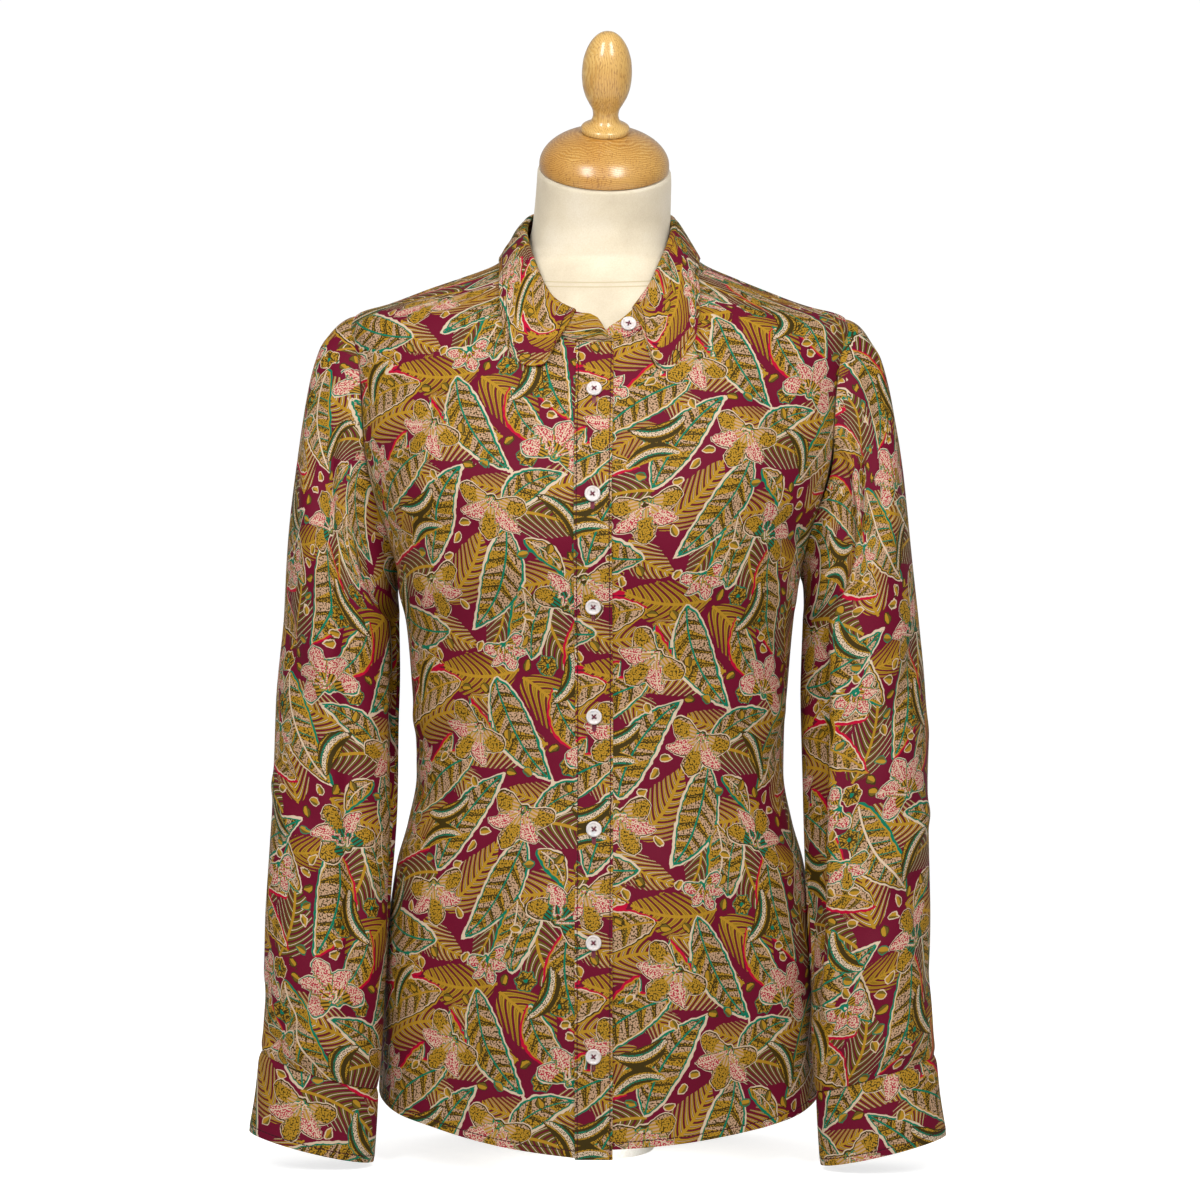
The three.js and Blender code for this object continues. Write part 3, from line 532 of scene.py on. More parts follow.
def closed(name, rings):
    """A closed surface through rings whose last point isn't the first again. The first and the last ring
    are tiny, and a strip of quads closes each."""
    rows, columns = rings.shape[:2]
    grid = np.arange(rows * columns).reshape(rows, columns)
    after = np.roll(grid, -1, axis=1)
    sides = np.stack([grid[:-1], after[:-1], after[1:], grid[1:]], -1).reshape(-1, 4)
    half = columns // 2
    low, high = [np.stack([r[:half - 1], r[1:half], r[-2:half - 1:-1], r[:half:-1]], -1)
                 for r in (grid[0], grid[-1])]
    return build_mesh(name, rings.reshape(-1, 3), np.vstack([sides, low[:, ::-1], high]))


def fit(piece, material, node=None):
    """Gives a piece its material, fixes it to the one body, and hides the CAD part that it replaces, if one
    is named.
    """
    piece.data.materials.append(material)
    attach(piece, "root")
    if node:
        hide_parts(node)
    return piece


def shoulder_fill(points):
    """The cloth stands fuller at the shoulder points: 3.5 * exp(-(d / 21)^2), with d seen from in front."""
    from_point = np.hypot(np.abs(points[..., 0]) - 177, points[..., 2] - 615)
    return 3.5 * np.exp(-(from_point / 21) ** 2)


def cloth(name, points, place, relief, thickness, stitch=None, tube=False):
    """A closed wall of printed cloth. The outer grid is moved out by the relief, and the inner one lies
    a thickness behind it. UVs hold the place on the cloth in units of 100 mm."""
    rows, columns = points.shape[:2]
    normals = grid_normals(points)
    relief = relief + shoulder_fill(points)
    if tube:
        seam = unit(normals[:, 0] + normals[:, -1])
        normals[:, 0] = normals[:, -1] = seam
        relief[:, 0] = relief[:, -1] = (relief[:, 0] + relief[:, -1]) / 2
    outer = points + normals * relief[..., None]
    inner = outer - normals * thickness
    front, back, rim = wall_faces(rows, columns)
    quads = np.vstack([front, back, *(rim[:2] if tube else rim)])
    wrong_side = np.repeat([0.0, 1.0, 0.0], [len(front), len(back), len(quads) - 2 * len(front)])
    corners = quads.ravel()
    on_grid = corners % (rows * columns)
    fields = {"wrong_side": np.repeat(wrong_side, 4)}
    looks = np.zeros((len(corners), 3))
    for i, (layer, motifs) in enumerate(planting.items()):
        field = read_layer(place, motifs).reshape(-1, 4)[on_grid]
        fields["print_" + layer] = field[:, :3]
        if i:
            looks[:, i - 1] = field[:, 3]
        else:
            fields["look_" + layer] = field[:, 3]
    fields["looks"] = looks
    stitched = np.tile([50.0, 0, 0], (rows, columns, 1)) if stitch is None else stitch
    fields["stitch"] = stitched.reshape(-1, 3)[on_grid]
    vertex = np.arange(2 * rows * columns)
    if tube:
        vertex = np.where(vertex % columns == columns - 1, vertex - columns + 1, vertex)
    used, vertex = np.unique(vertex, return_inverse=True)
    both = np.vstack([outer.reshape(-1, 3), inner.reshape(-1, 3)])[used]
    made = build_mesh(name, both, vertex[quads], fields, place.reshape(-1, 2)[on_grid] / 100)
    print(f"{name}: {len(quads) * 2} triangles, {path_length(points[rows // 2]):.0f} mm across")
    return fit(made, printed_cotton)


outer, inner, rim = wall_faces(2, 2)
print("a wall over one square of points has", len(outer) + len(inner) + sum(map(len, rim)), "faces")

# %% [markdown]
# ## Printed cotton
# The cloth is a smooth light cotton, rotary printed: flat matt inks with hard edges over a burgundy
# ground, and hardly any shine. A noise shifts each outline by a millimetre or so, which is how a hand
# drawn line looks. The weave's real threads, 0.2 mm apart, are too fine to show, so the bump draws them
# at 0.9 mm. The dots are a Voronoi pattern with cells of 1.25 mm.

# %% Inks and the print's sources
INK = {
    "burgundy": "#7a0e32", "olive": "#483a10", "mustard": "#c4982a", "cream": "#ecd7be", "teal": "#0e8467",
    "crimson": "#cc063a", "rose": "#c4344c", "moss": "#766422", "sand": "#d2ae8e",
}
DOT_CELL = 1.25 # mm
WEAVE = 0.9 # mm

printed_cotton, tree, shader = new_material("rotary_printed_cotton", {
    "Roughness": 0.62, "Specular IOR Level": 0.1,
})
flat = add(tree, "ShaderNodeUVMap", uv_map="cloth").outputs[0]
hand = add(tree, "ShaderNodeTexNoise", {"Vector": flat, "Scale": 16.0, "Detail": 1.5}, noise_dimensions="2D")
wobble = add(tree, MATH, {0: hand.outputs[0], 1: 2.4, 2: -1.2}, operation="MULTIPLY_ADD").outputs[0]
cells = add(tree, "ShaderNodeTexVoronoi", {"Vector": flat, "Scale": 100 / DOT_CELL}, voronoi_dimensions="2D")
looks = add(tree, "ShaderNodeAttribute", attribute_name="looks").outputs["Vector"]
looks = add(tree, "ShaderNodeSeparateXYZ", {0: looks}).outputs
look_fern = add(tree, "ShaderNodeAttribute", attribute_name="look_fern").outputs["Fac"]
LOOK = dict(zip(PLANTING, [look_fern, *looks]))


def passes(value, test, limit):
    """1 where the value passes the test against the limit, else 0."""
    return add(tree, MATH, {0: value, 1: limit}, operation=test).outputs[0]


def over(below, above, mask):
    """Lays one colour over another where the mask is 1. A colour is a socket or the name of an ink."""
    below, above = [linear(INK[c]) if isinstance(c, str) else c for c in (below, above)]
    return add(tree, MIX, {0: mask, 6: below, 7: above}, data_type="RGBA").outputs[2]


def layered(colour, *rows):
    """Lays the rows over a colour, one after the other. A row is what is laid on, and the value, test and
    limit that say where."""
    for above, value, test, limit in rows:
        colour = over(colour, above, passes(value, test, limit))
    return colour


def in_bands(value, rows):
    """The ink of each (place, ink) row from its place up to the next."""
    bands = add(tree, RAMP, {0: value}, stops=[(place, INK[name]) for place, name in rows])
    bands.color_ramp.interpolation = "CONSTANT"
    return bands.outputs[0]


def by_look(look, *names):
    """The first ink for look 0 and 4, the second for look 1 and 5, and so on."""
    return in_bands(look, [(i / 8, names[i % 4]) for i in range(8)])


def read_motif(layer):
    """The layer's distance with the hand's wobble, along, across, its size, and (look + 0.5) / 8."""
    stored = add(tree, "ShaderNodeAttribute", attribute_name="print_" + layer)
    parts = add(tree, "ShaderNodeSeparateXYZ", {0: stored.outputs["Vector"]}).outputs
    distance = add(tree, MATH, {0: parts[0], 1: wobble}, operation="ADD").outputs[0]
    side = add(tree, MATH, {0: parts[2]}, operation="ABSOLUTE").outputs[0]
    look = add(tree, MATH, {0: LOOK[layer], 1: 0.125, 2: 0.0625}, operation="MULTIPLY_ADD").outputs[0]
    return distance, parts[1], parts[2], side, look


few_dots = passes(cells.outputs["Distance"], LESS, 0.3)
dots = passes(cells.outputs["Distance"], LESS, 0.4)
full_dots = passes(cells.outputs["Distance"], LESS, 0.52)
sandy = over("olive", "sand", full_dots)
golden = over("olive", "mustard", full_dots)
print("inks", len(INK))

# %% Ferns
# Leaflets slant off a stem every 7 mm; the burgundy shows between them.
distance, along, across, side, look = read_motif("fern")
curve = add(tree, MATH, {0: side, 1: 1.5}, operation="POWER").outputs[0]
slant = add(tree, MATH, {0: curve, 1: -26.0, 2: along}, operation="MULTIPLY_ADD").outputs[0]
leaflet = add(tree, MATH, {0: slant, 1: 3.5}, operation="PINGPONG").outputs[0]
narrow = add(tree, MATH, {0: curve, 1: -1.5, 2: leaflet}, operation="MULTIPLY_ADD").outputs[0]
stem = passes(side, LESS, 0.06)
blade = add(tree, MATH, {0: passes(narrow, MORE, 0.5), 1: stem}, operation="MAXIMUM").outputs[0]
mask = add(tree, MATH, {0: passes(distance, LESS, 0.0), 1: blade}, operation="MULTIPLY").outputs[0]
fern = layered(
    "olive",
    (by_look(look, "mustard", "mustard", "mustard", "moss"), narrow, MORE, 1.0),
    ("olive", leaflet, MORE, 2.7),
    (by_look(look, "mustard", "cream", "sand", "cream"), leaflet, MORE, 3.1),
)
colour = over("burgundy", over(fern, "mustard", stem), mask)
print("ferns:", len(planting["fern"]))

# %% Long leaves
# One half of a leaf is dotted in sand, the other in mustard, and they change places between some veins.
# The veins, the midrib, an inner line and the outline are laid over that.
distance, along, across, side, look = read_motif("foliage")
slant = add(tree, MATH, {0: side, 1: -11.0, 2: along}, operation="MULTIPLY_ADD").outputs[0]
vein = add(tree, MATH, {0: slant, 1: 5.5}, operation="PINGPONG").outputs[0]
patch = add(tree, MATH, {0: slant, 1: 11.0}, operation="PINGPONG").outputs[0]
behind = add(tree, MATH, {0: slant, 1: 11.0, 2: 0.0}, operation="WRAP").outputs[0]
behind = add(tree, MATH, {0: side, 1: 2.6, 2: behind}, operation="MULTIPLY_ADD").outputs[0]
half = add(tree, MATH, {0: across, 1: 4.0, 2: patch}, operation="MULTIPLY_ADD").outputs[0]
leaf = layered(
    golden,
    (sandy, half, MORE, 4.4),
    (over("olive", "mustard", few_dots), behind, LESS, 3.6),
    (by_look(look, "olive", "teal", "olive", "moss"), vein, LESS, 0.5),
    (by_look(look, "teal", "cream", "teal", "mustard"), side, LESS, 0.045),
    (by_look(look, "mustard", "mustard", "teal", "cream"), distance, MORE, -2.6),
    (by_look(look, "crimson", "teal", "cream", "crimson"), distance, MORE, -1.7),
)
# The other half of a leaf's outline is often in a colour of its own.
rim = over(
    by_look(look, "teal", "cream", "cream", "mustard"), by_look(look, "cream", "olive", "teal", "olive"),
    passes(distance, LESS, -1.15))
rim_mask = add(tree, MATH, {0: passes(across, MORE, 0.0), 1: passes(distance, MORE, -2.0)},
               operation="MULTIPLY").outputs[0]
leaf = over(leaf, rim, rim_mask)
colour = over(colour, leaf, passes(distance, LESS, 0.0))
print("long leaves:", len(planting["foliage"]))

# %% Sprigs
# Small florets with a teal or cream edge, and berries and leaflets in mustard.
distance, along, across, side, look = read_motif("sprig")
floret = layered(
    golden,
    ("olive", side, LESS, 0.12),
    ("teal", along, LESS, 2.4),
    (by_look(look, "teal", "cream", "cream", "teal"), distance, MORE, -0.8),
)
berry = layered(
    "mustard",
    ("moss", across, MORE, 0.15),
    (by_look(look, "cream", "olive", "cream", "teal"), distance, MORE, -0.6),
)
colour = over(colour, over(floret, berry, passes(look, MORE, 0.5)), passes(distance, LESS, 0.1))
print("florets and berries:", len(planting["sprig"]))

# %% Blooms
# The petals are cream dotted with rose towards the tip, and hatched in mustard and olive at the throat.
# The curled leaves of the same layer are striped lengthwise.
distance, along, across, side, look = read_motif("bloom")
hatch = add(tree, MATH, {0: across, 1: 0.13}, operation="PINGPONG").outputs[0]
throat = over(
    by_look(look, "olive", "mustard", "moss", "olive"), by_look(look, "mustard", "sand", "mustard", "teal"),
    passes(hatch, MORE, 0.06))
streak = add(tree, MATH, {0: across, 1: 0.28}, operation="PINGPONG").outputs[0]
blush = layered(
    over("rose", "cream", dots),
    ("cream", streak, LESS, 0.04),
    (over("cream", "rose", dots), side, MORE, 0.55),
    ("cream", side, MORE, 0.82),
)
outer = passes(along, MORE, 17.0)
along = add(tree, MATH, {0: outer, 1: -20.0, 2: along}, operation="MULTIPLY_ADD").outputs[0]
gold_too = add(tree, MATH, {0: passes(look, MORE, 0.125), 1: outer}, operation="MULTIPLY").outputs[0]
tip = over(blush, over(golden, sandy, passes(side, MORE, 0.55)), gold_too)
reach = add(tree, MATH, {0: wobble, 1: 1.4, 2: along}, operation="MULTIPLY_ADD").outputs[0]
bloom = layered(
    throat,
    (tip, reach, MORE, 5.6),
    (over("teal", "mustard", dots), along, LESS, 2.6),
    (by_look(look, "teal", "olive", "teal", "olive"), distance, MORE, -1.9),
    ("cream", distance, MORE, -0.9),
)
bands = add(tree, MATH, {0: across, 1: 0.5, 2: 0.5}, operation="MULTIPLY_ADD").outputs[0]
curl = in_bands(bands, [
    (0.0, "mustard"), (0.16, "olive"), (0.27, "teal"), (0.36, "cream"), (0.56, "mustard"), (0.64, "olive"),
    (0.84, "mustard"),
])
curl = over(curl, "olive", few_dots)
curl = over(curl, by_look(look, "mustard", "olive", "teal", "mustard"), passes(distance, MORE, -0.8))
colour = over(colour, over(bloom, curl, passes(look, MORE, 0.5)), passes(distance, LESS, 0.0))
print("blooms and curled leaves:", len(planting["bloom"]))

# %% Stitches, wrong side, weave and gloss
# A stitched line lies a set distance inside an edge. Its stitches are 2.4 mm long and 0.6 mm apart, in
# burgundy thread.
stitch = add(tree, "ShaderNodeAttribute", attribute_name="stitch").outputs["Vector"]
from_edge, run, line = add(tree, "ShaderNodeSeparateXYZ", {0: stitch}).outputs
off_line = add(tree, MATH, {0: from_edge, 1: line}, operation="SUBTRACT").outputs[0]
off_line = add(tree, MATH, {0: off_line}, operation="ABSOLUTE").outputs[0]
dash = add(tree, MATH, {0: run, 1: 1.5}, operation="PINGPONG").outputs[0]
thread = add(tree, MATH, {0: passes(off_line, LESS, 0.4), 1: passes(dash, MORE, 0.3)},
             operation="MULTIPLY").outputs[0]
darker = add(tree, MIX, {0: thread, 6: colour, 7: linear("#4a1a28")}, data_type="RGBA").outputs[2]
wrong_side = add(tree, "ShaderNodeAttribute", attribute_name="wrong_side").outputs["Fac"]
strike = add(tree, MATH, {0: wrong_side, 1: 0.6}, operation="MULTIPLY").outputs[0]
shown = add(tree, MIX, {0: strike, 6: darker, 7: linear("#6b4a3a")}, data_type="RGBA").outputs[2]
# Cotton sends back about six tenths of what white paper does.
shown = add(tree, MIX, {0: 1.0, 6: shown, 7: (0.63, 0.595, 0.555, 1.0)}, data_type="RGBA",
            blend_type="MULTIPLY")
tree.links.new(shown.outputs[2], shader.inputs["Base Color"])
groove = add(tree, "ShaderNodeMapRange", {0: off_line, 1: 0.0, 2: 1.3, 3: -0.35, 4: 0.0}).outputs[0]
weave = add(tree, "ShaderNodeTexNoise", {"Vector": flat, "Scale": 100 / WEAVE, "Detail": 0.0},
            noise_dimensions="2D")
height = add(tree, MATH, {0: weave.outputs[0], 1: 0.12, 2: groove}, operation="MULTIPLY_ADD").outputs[0]
bump = add(tree, "ShaderNodeBump", {"Height": height, "Distance": 0.001, "Strength": 0.8})
tree.links.new(bump.outputs[0], shader.inputs["Normal"])
print("the print has", len(tree.nodes), "nodes")

# %% [markdown]
# ## Creases and seams
# Worn cotton is never quite smooth. A crease here is a line on the panel with a width and a height: the
# cloth is moved out, or in where the height is negative, by a bell curve of the distance to the line.
# Long slow waves are added so that no two stretches are alike. At a seam the cloth rolls in a little
# towards the stitches, which is what makes a seam readable under a busy print.

# %% Creases, waves and seams
CREASE_DEPTH = 2.3 # mm for a crease of height 1


def creases(at, rows):
    """The sum of height * exp(-(d / width)^2), with d the distance to the line (x0, y0)-(x1, y1)."""
    total = np.zeros(at.shape[:-1])
    for x0, y0, x1, y1, width, height in rows:
        start, way = np.array([x0, y0]), np.array([x1 - x0, y1 - y0])
        share = np.clip(((at - start) @ way) / (way @ way), 0, 1)
        distance = np.linalg.norm(at - start - share[..., None] * way, axis=-1)
        total += CREASE_DEPTH * height * np.exp(-(distance / width) ** 2)
    return total


def waves(at, height, size, seed):
    """Six sine waves of lengths about `size`, in random directions, adding up to about `height`."""
    dice = np.random.default_rng(seed)
    total = np.zeros(at.shape[:-1])
    for _ in range(6):
        angle, length = dice.random() * np.pi, size * (0.6 + dice.random())
        way = np.array([math.cos(angle), 0.6 * math.sin(angle)]) * 2 * np.pi / length
        total += np.sin(at @ way + dice.random() * 7)
    return total * height / 3


def seam_roll(*distances, deep=0.3):
    """-deep * exp(-(d / 1.8)^2) for the nearest of the seams."""
    return -deep * np.exp(-(np.minimum.reduce(distances) / 1.8) ** 2)


def hem_step(distance):
    """Two more layers of cloth within 6 mm of the hem."""
    return 0.35 * (1 - smooth_step(distance, 5.2, 6.6))


def stitched(distance, along, line):
    """What the shader's stitched line needs at each point."""
    return np.stack([distance, along, np.full_like(distance, line)], -1)


def dress(node):
    """Hides the CAD node that the piece replaces."""
    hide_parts(node)


ROOM = 2.7 # mm between the cloth and the bust


def kept_off(relief):
    """ROOM * tanh(r / ROOM) below zero, so that no trough reaches the bust."""
    return np.where(relief < 0, ROOM * np.tanh(relief / ROOM), relief)


THIN, FACED = 0.6, 1.5 # mm; one layer as worn, and an interlined piece
SEAM = 0.35 # mm between two pieces at a seam
print("a trough of 4 mm is let in by", round(float(-kept_off(np.array(-4.0))), 2), "mm")

# %% [markdown]
# ## The dress form
# The bust is padded and covered in cream jersey, which is drawn over it so tightly that it has no folds
# of its own. It follows the inside of the shirt up to the neck, where its rings tip forward as they rise.

# %% Materials whose tone only drifts
def speckled(name, noise, stops, finish):
    """A material whose colour is a noise in the piece's own coordinates, read through a ramp."""
    material, tree, shader = new_material(name, finish)
    spot = add(tree, "ShaderNodeTexCoord").outputs["Object"]
    drift = add(tree, "ShaderNodeTexNoise", {"Vector": spot, **noise}).outputs[0]
    tone = add(tree, RAMP, {0: drift}, stops=stops).outputs[0]
    tree.links.new(tone, shader.inputs["Base Color"])
    return material


print("materials so far:", len(bpy.data.materials))

# %% Jersey
# Cotton jersey is matt, and its loose fibres give it a faint bloom at the sides. Its loops are too fine to
# show, so they are drawn 1.1 mm apart. The smudges of handling are some 40 mm across.
jersey, tree, shader = new_material("cotton_jersey_over_padding", {
    "Roughness": 0.85, "Specular IOR Level": 0.25, "Sheen Weight": 0.12,
})
spot = add(tree, "ShaderNodeTexCoord").outputs["Object"]
knit = add(tree, "ShaderNodeTexNoise", {"Vector": spot, "Scale": 900.0, "Detail": 2.0}).outputs[0]
smudge = add(tree, "ShaderNodeTexNoise", {"Vector": spot, "Scale": 26.0, "Detail": 3.0}).outputs[0]
tone = add(tree, RAMP, {0: smudge}, stops=[(0.3, "#cec3ae"), (0.5, "#d9cfba"), (0.75, "#dfd7c7")])
grain = add(tree, MIX, {0: knit, 6: linear("#d9c9aa"), 7: linear("#ffffff")}, data_type="RGBA").outputs[2]
soft = add(tree, MIX, {0: 0.5, 6: tone.outputs[0], 7: grain}, data_type="RGBA", blend_type="MULTIPLY")
# The cover's neck seam is a plane that slants up to the back.
height = add(tree, "ShaderNodeSeparateXYZ", {0: spot}).outputs
level = add(tree, MATH, {0: height[1], 1: -0.216, 2: height[2]}, operation="MULTIPLY_ADD").outputs[0]
# It is stitched on both sides, 1.5 mm away: the distance to the plane, and then to the stitches.
for away in (0.6578, 0.0015):
    level = add(tree, MATH, {0: level, 1: away}, operation="SUBTRACT").outputs[0]
    level = add(tree, MATH, {0: level}, operation="ABSOLUTE").outputs[0]
seam_line = passes(level, LESS, 0.0004)
shown = add(tree, MIX, {0: seam_line, 6: soft.outputs[2], 7: linear("#b9ab8d")}, data_type="RGBA")
tree.links.new(shown.outputs[2], shader.inputs["Base Color"])
dip = add(tree, "ShaderNodeMapRange", {0: level, 1: 0.0, 2: 0.002, 3: -1.0, 4: 0.0}).outputs[0]
relief = add(tree, MATH, {0: knit, 1: 0.25, 2: dip}, operation="MULTIPLY_ADD").outputs[0]
bump = add(tree, "ShaderNodeBump", {"Height": relief, "Distance": 0.0006, "Strength": 0.7})
tree.links.new(bump.outputs[0], shader.inputs["Normal"])
print("jersey has", len(tree.nodes), "nodes")

# %% The bust
FORM_BASE_Z = 65
FORM_INSET = table("z inset", [
    [65, 10], [180, 8], [286, 6], [400, 4], [460, 3.6], [500, 3.2], [640, 3.2], [655, 4.4],
])
NECK_TOP_Z, NECK_TILT, NECK_LEAN = 734, 27, 0.05
NECK = table("z y x half deep tilt lean", [
    [668, 2, 0, 63, 49.5, 1, 0],
    [680, 0, 0.5, 55, 49.5, 5, 0],
    [697, -5, 1.5, 51.5, 48.5, 12, 0],
    [715, -13.5, 3, 50.5, 48, 20, 0.02],
    [732, -23, 4, 49.6, 47.6, 26, 0.04],
    [NECK_TOP_Z, -24, 4, 48.6, 46.8, NECK_TILT, NECK_LEAN],
])


def neck_ring(turn, z):
    """An ellipse about (x, y, z), tipped forward by `tilt` and sloping to the left by `lean`."""
    ahead, across = -NECK("deep", z) * cos(turn), NECK("half", z) * sin(turn)
    rise = ahead * sin(NECK("tilt", z)) - across * NECK("lean", z)
    return np.stack([NECK("x", z) + across, NECK("y", z) + ahead * cos(NECK("tilt", z)), z + rise], -1)


def with_ends(rings):
    """Adds three rings at each end that shrink to a hundredth of the size, as a flat lid."""
    below, above = [[mix(ring.mean(0), ring, share) for share in (0.995, 0.6, 0.01)]
                    for ring in (rings[0], rings[-1])]
    return np.array([*below[::-1], *rings, *above])


turns = np.linspace(0, 360, 145)[:-1]
levels = np.concatenate([np.linspace(FORM_BASE_Z, 600, 108), np.linspace(603, 656, 30)])
turn_grid, level_grid = np.meshgrid(turns, levels)
bust = body_point(turn_grid, level_grid)
bust -= FORM_INSET("inset", level_grid)[..., None] * body_normal(turn_grid, level_grid)
bust[0, :, 2] = FORM_BASE_Z
neck = neck_ring(*np.meshgrid(turns, np.linspace(668, NECK_TOP_Z, 34)))
ties = np.linspace(0, 1, 8)[1:-1, None, None]
form_bust = closed("form_bust", with_ends(np.vstack([bust, mix(bust[-1], neck[0], ties), neck])))
fit(form_bust, jersey, "form_body")
print("bust", [round(v, 3) for v in form_bust.dimensions])

# %% The foot
# The foot is covered in a stiffer cloth, bleached canvas, which stays pale in the shirt's shade. Its slubs
# are 1.7 mm apart. The foot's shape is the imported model's own.
canvas = speckled(
    "bleached_cotton_canvas", {"Scale": 600.0, "Detail": 2.0}, [(0.3, "#f1eee6"), (0.7, "#fcfbf6")],
    {"Roughness": 0.9, "Specular IOR Level": 0.2})
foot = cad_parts["form_foot"]
foot.data.materials.clear()
foot.data.materials.append(canvas)
print("foot", [round(v, 3) for v in foot.dimensions])

# %% [markdown]
# ## Fronts
# A front is a patchwork of three blocks of rows. The lowest run from the front edge to the side seam,
# the next from the front edge to the armhole, and the last from the neck seam to the armhole and end on
# the shoulder seam. The left front's edge lies under the placket.

# %% The front panels
CHEST_ROUND, BUST_Z = 80, 438
LAP = 12
HEM_LIFT, HEM_LIFT_REACH = 6.5, 45


def front_grid(side):
    """(turn, z) of one front, as for the left side, at rows of points from the front edge out."""
    edge = -LAP * side
    # Shares along a row, and up the three blocks of rows.
    u = np.linspace(0, 1, span(245))
    low = np.linspace(0, 1, span(424))[:, None]
    high = np.linspace(0, 1, span(185))[1:, None]
    top = np.linspace(0, 1, span(75))[1:, None]

    def hem(turn):
        """The hem's level; the left front's is raised by up to HEM_LIFT towards its edge."""
        short = HEM_LIFT * np.maximum(0, 1 - np.abs(turn) / HEM_LIFT_REACH) if side > 0 else 0
        return HEM("z", np.abs(turn)) + short

    start_z = mix(hem(0), BUST_Z, low)
    turn = mix(turn_at(edge, start_z), 90, u)
    rows = [np.stack([turn, mix(hem(turn), mix(BUST_Z, UNDERARM_Z, u), low)], -1)]
    start_z = mix(BUST_Z, neck_seam(neck_turn_at_x(edge))[1], high)
    start = np.stack([turn_at(edge, start_z), start_z], -1)
    end = np.stack(armhole(mix(180, CHEST_ROUND, high)), -1)
    rows.append(mix(start, end, u[:, None]))
    start = np.stack(neck_seam(mix(neck_turn_at_x(edge), neck_turn_at_y(SHOULDER_SEAM_Y), top)), -1)
    end = np.stack(armhole(mix(CHEST_ROUND, FRONT_ROUND, top)), -1)
    upper = mix(start, end, u[:, None])
    ridge = np.stack(lift(body_point(*upper[-1].T)[:, 0], SHOULDER_SEAM_Y + 0 * u), -1)
    rows.append(upper + (ridge - upper[-1]) * top[..., None] ** 3)
    return np.vstack(rows)


def front(side, name, node, offset, lines, seed):
    """One front: its grid on the body, its creases, its hem, and where it was cut from the print."""
    grid = front_grid(side)
    if side < 0:
        grid = grid[:, ::-1] * (-1, 1)
    turn, z = grid[..., 0], grid[..., 1]
    points = body_point(turn, z)
    from_first, from_last = lengths(points, 1)
    from_hem, from_top = lengths(points, 0)
    outer_side = from_last if side > 0 else from_first
    relief = seam_roll(outer_side, from_top) + hem_step(from_hem)
    folds = creases(points[..., ::2], lines) * smooth_step(outer_side, 4, 40)
    relief += kept_off(folds + waves(points[..., ::2], 0.5, 110, seed))
    place = cloth_place(turn, z, 45.0 * side) + offset
    made = cloth(name, points, place, relief, THIN, stitched(from_hem, place[..., 0], 5.0))
    dress(node)
    return made


# Lines on the fronts: x and z of both ends, width, height.
RIGHT_LINES = [
    (-150, 300, -90, 318, 9, -1.6), (-146, 322, -70, 352, 12, 1.4), (-150, 275, -60, 262, 10, -1.2),
    (-140, 420, -60, 438, 16, 1.5), (-170, 455, -95, 470, 9, -1.8), (-172, 500, -120, 560, 12, -1.6),
    (-120, 520, -60, 590, 18, 1.2), (-60, 100, -45, 230, 22, 2.2), (-110, 60, -95, 200, 20, -2.0),
    (-30, 200, -20, 300, 16, 1.0),
]
LEFT_LINES = [
    (150, 296, 84, 310, 9, -1.6), (146, 330, 60, 350, 12, 1.5), (152, 268, 70, 258, 10, -1.3),
    (140, 414, 70, 432, 15, 1.4), (172, 452, 100, 474, 9, -1.8), (170, 505, 125, 566, 11, -1.6),
    (110, 530, 55, 585, 18, 1.2), (70, 90, 52, 220, 22, 2.2), (118, 70, 100, 190, 18, -2.0),
    (34, 180, 24, 290, 15, 1.0),
]
front_right = front(-1, "front_right_cloth", "front_right", (31, 64), RIGHT_LINES, 5)
front_left = front(1, "front_left_cloth", "front_left", (118, 11), LEFT_LINES, 8)

# %% [markdown]
# ## Back and yoke
# The back runs from side seam to side seam and up to a straight seam across the shoulder blades. The
# yoke is one piece from there over the shoulders to the front shoulder seams; it is laid out in plan,
# between the neck and the armholes, and then lifted onto the shoulders.

# %% The back panel
u = np.linspace(0, 1, span(440))
round_ = np.linspace(-180, BACK_ROUND, span(150))[1:]
end_turn, end_z = armhole(round_)
side_hem = HEM("z", 90)
under = np.linspace(0, (UNDERARM_Z - side_hem) / (YOKE_Z - side_hem), span(400))
share = np.concatenate([under, (end_z - side_hem) / (YOKE_Z - side_hem)])[:, None]
end = np.concatenate([np.full(len(under), 90.0), end_turn])[:, None]
turn = mix(end, 360 - end, u)
z = mix(HEM("z", 180 - np.abs(180 - turn)), YOKE_Z, np.minimum(share, 1))
points = body_point(turn, z)
from_side, from_other = lengths(points, 1)
from_hem, from_top = lengths(points, 0)
BACK_LINES = [
    (-140, 300, -60, 286, 10, -1.8), (140, 296, 50, 280, 11, -1.9), (-60, 262, 60, 256, 12, -1.7),
    (-120, 330, 30, 318, 12, 1.6), (-20, 300, 110, 330, 13, 1.5), (-140, 250, -70, 226, 10, -1.5),
    (140, 244, 66, 222, 11, -1.5), (-60, 90, -48, 210, 24, 2.2), (64, 80, 50, 220, 24, 2.2),
    (0, 60, 4, 190, 22, -2.0), (-168, 455, -90, 480, 10, -1.8), (168, 450, 96, 486, 10, -1.8),
    (-150, 520, -90, 575, 14, -1.6), (150, 515, 95, 572, 14, -1.6), (-30, 420, 60, 430, 20, 1.2),
]
relief = seam_roll(from_side, from_other, from_top) + hem_step(from_hem)
folds = creases(points[..., ::2], BACK_LINES) * smooth_step(np.minimum(from_side, from_other), 4, 40)
relief += kept_off(folds + waves(points[..., ::2], 0.6, 120, 12))
place = cloth_place(turn, z, 180.0) + (70, 140)
back = cloth("back_cloth", points, place, relief, THIN, stitched(from_hem, place[..., 0], 5.0))
dress("back")

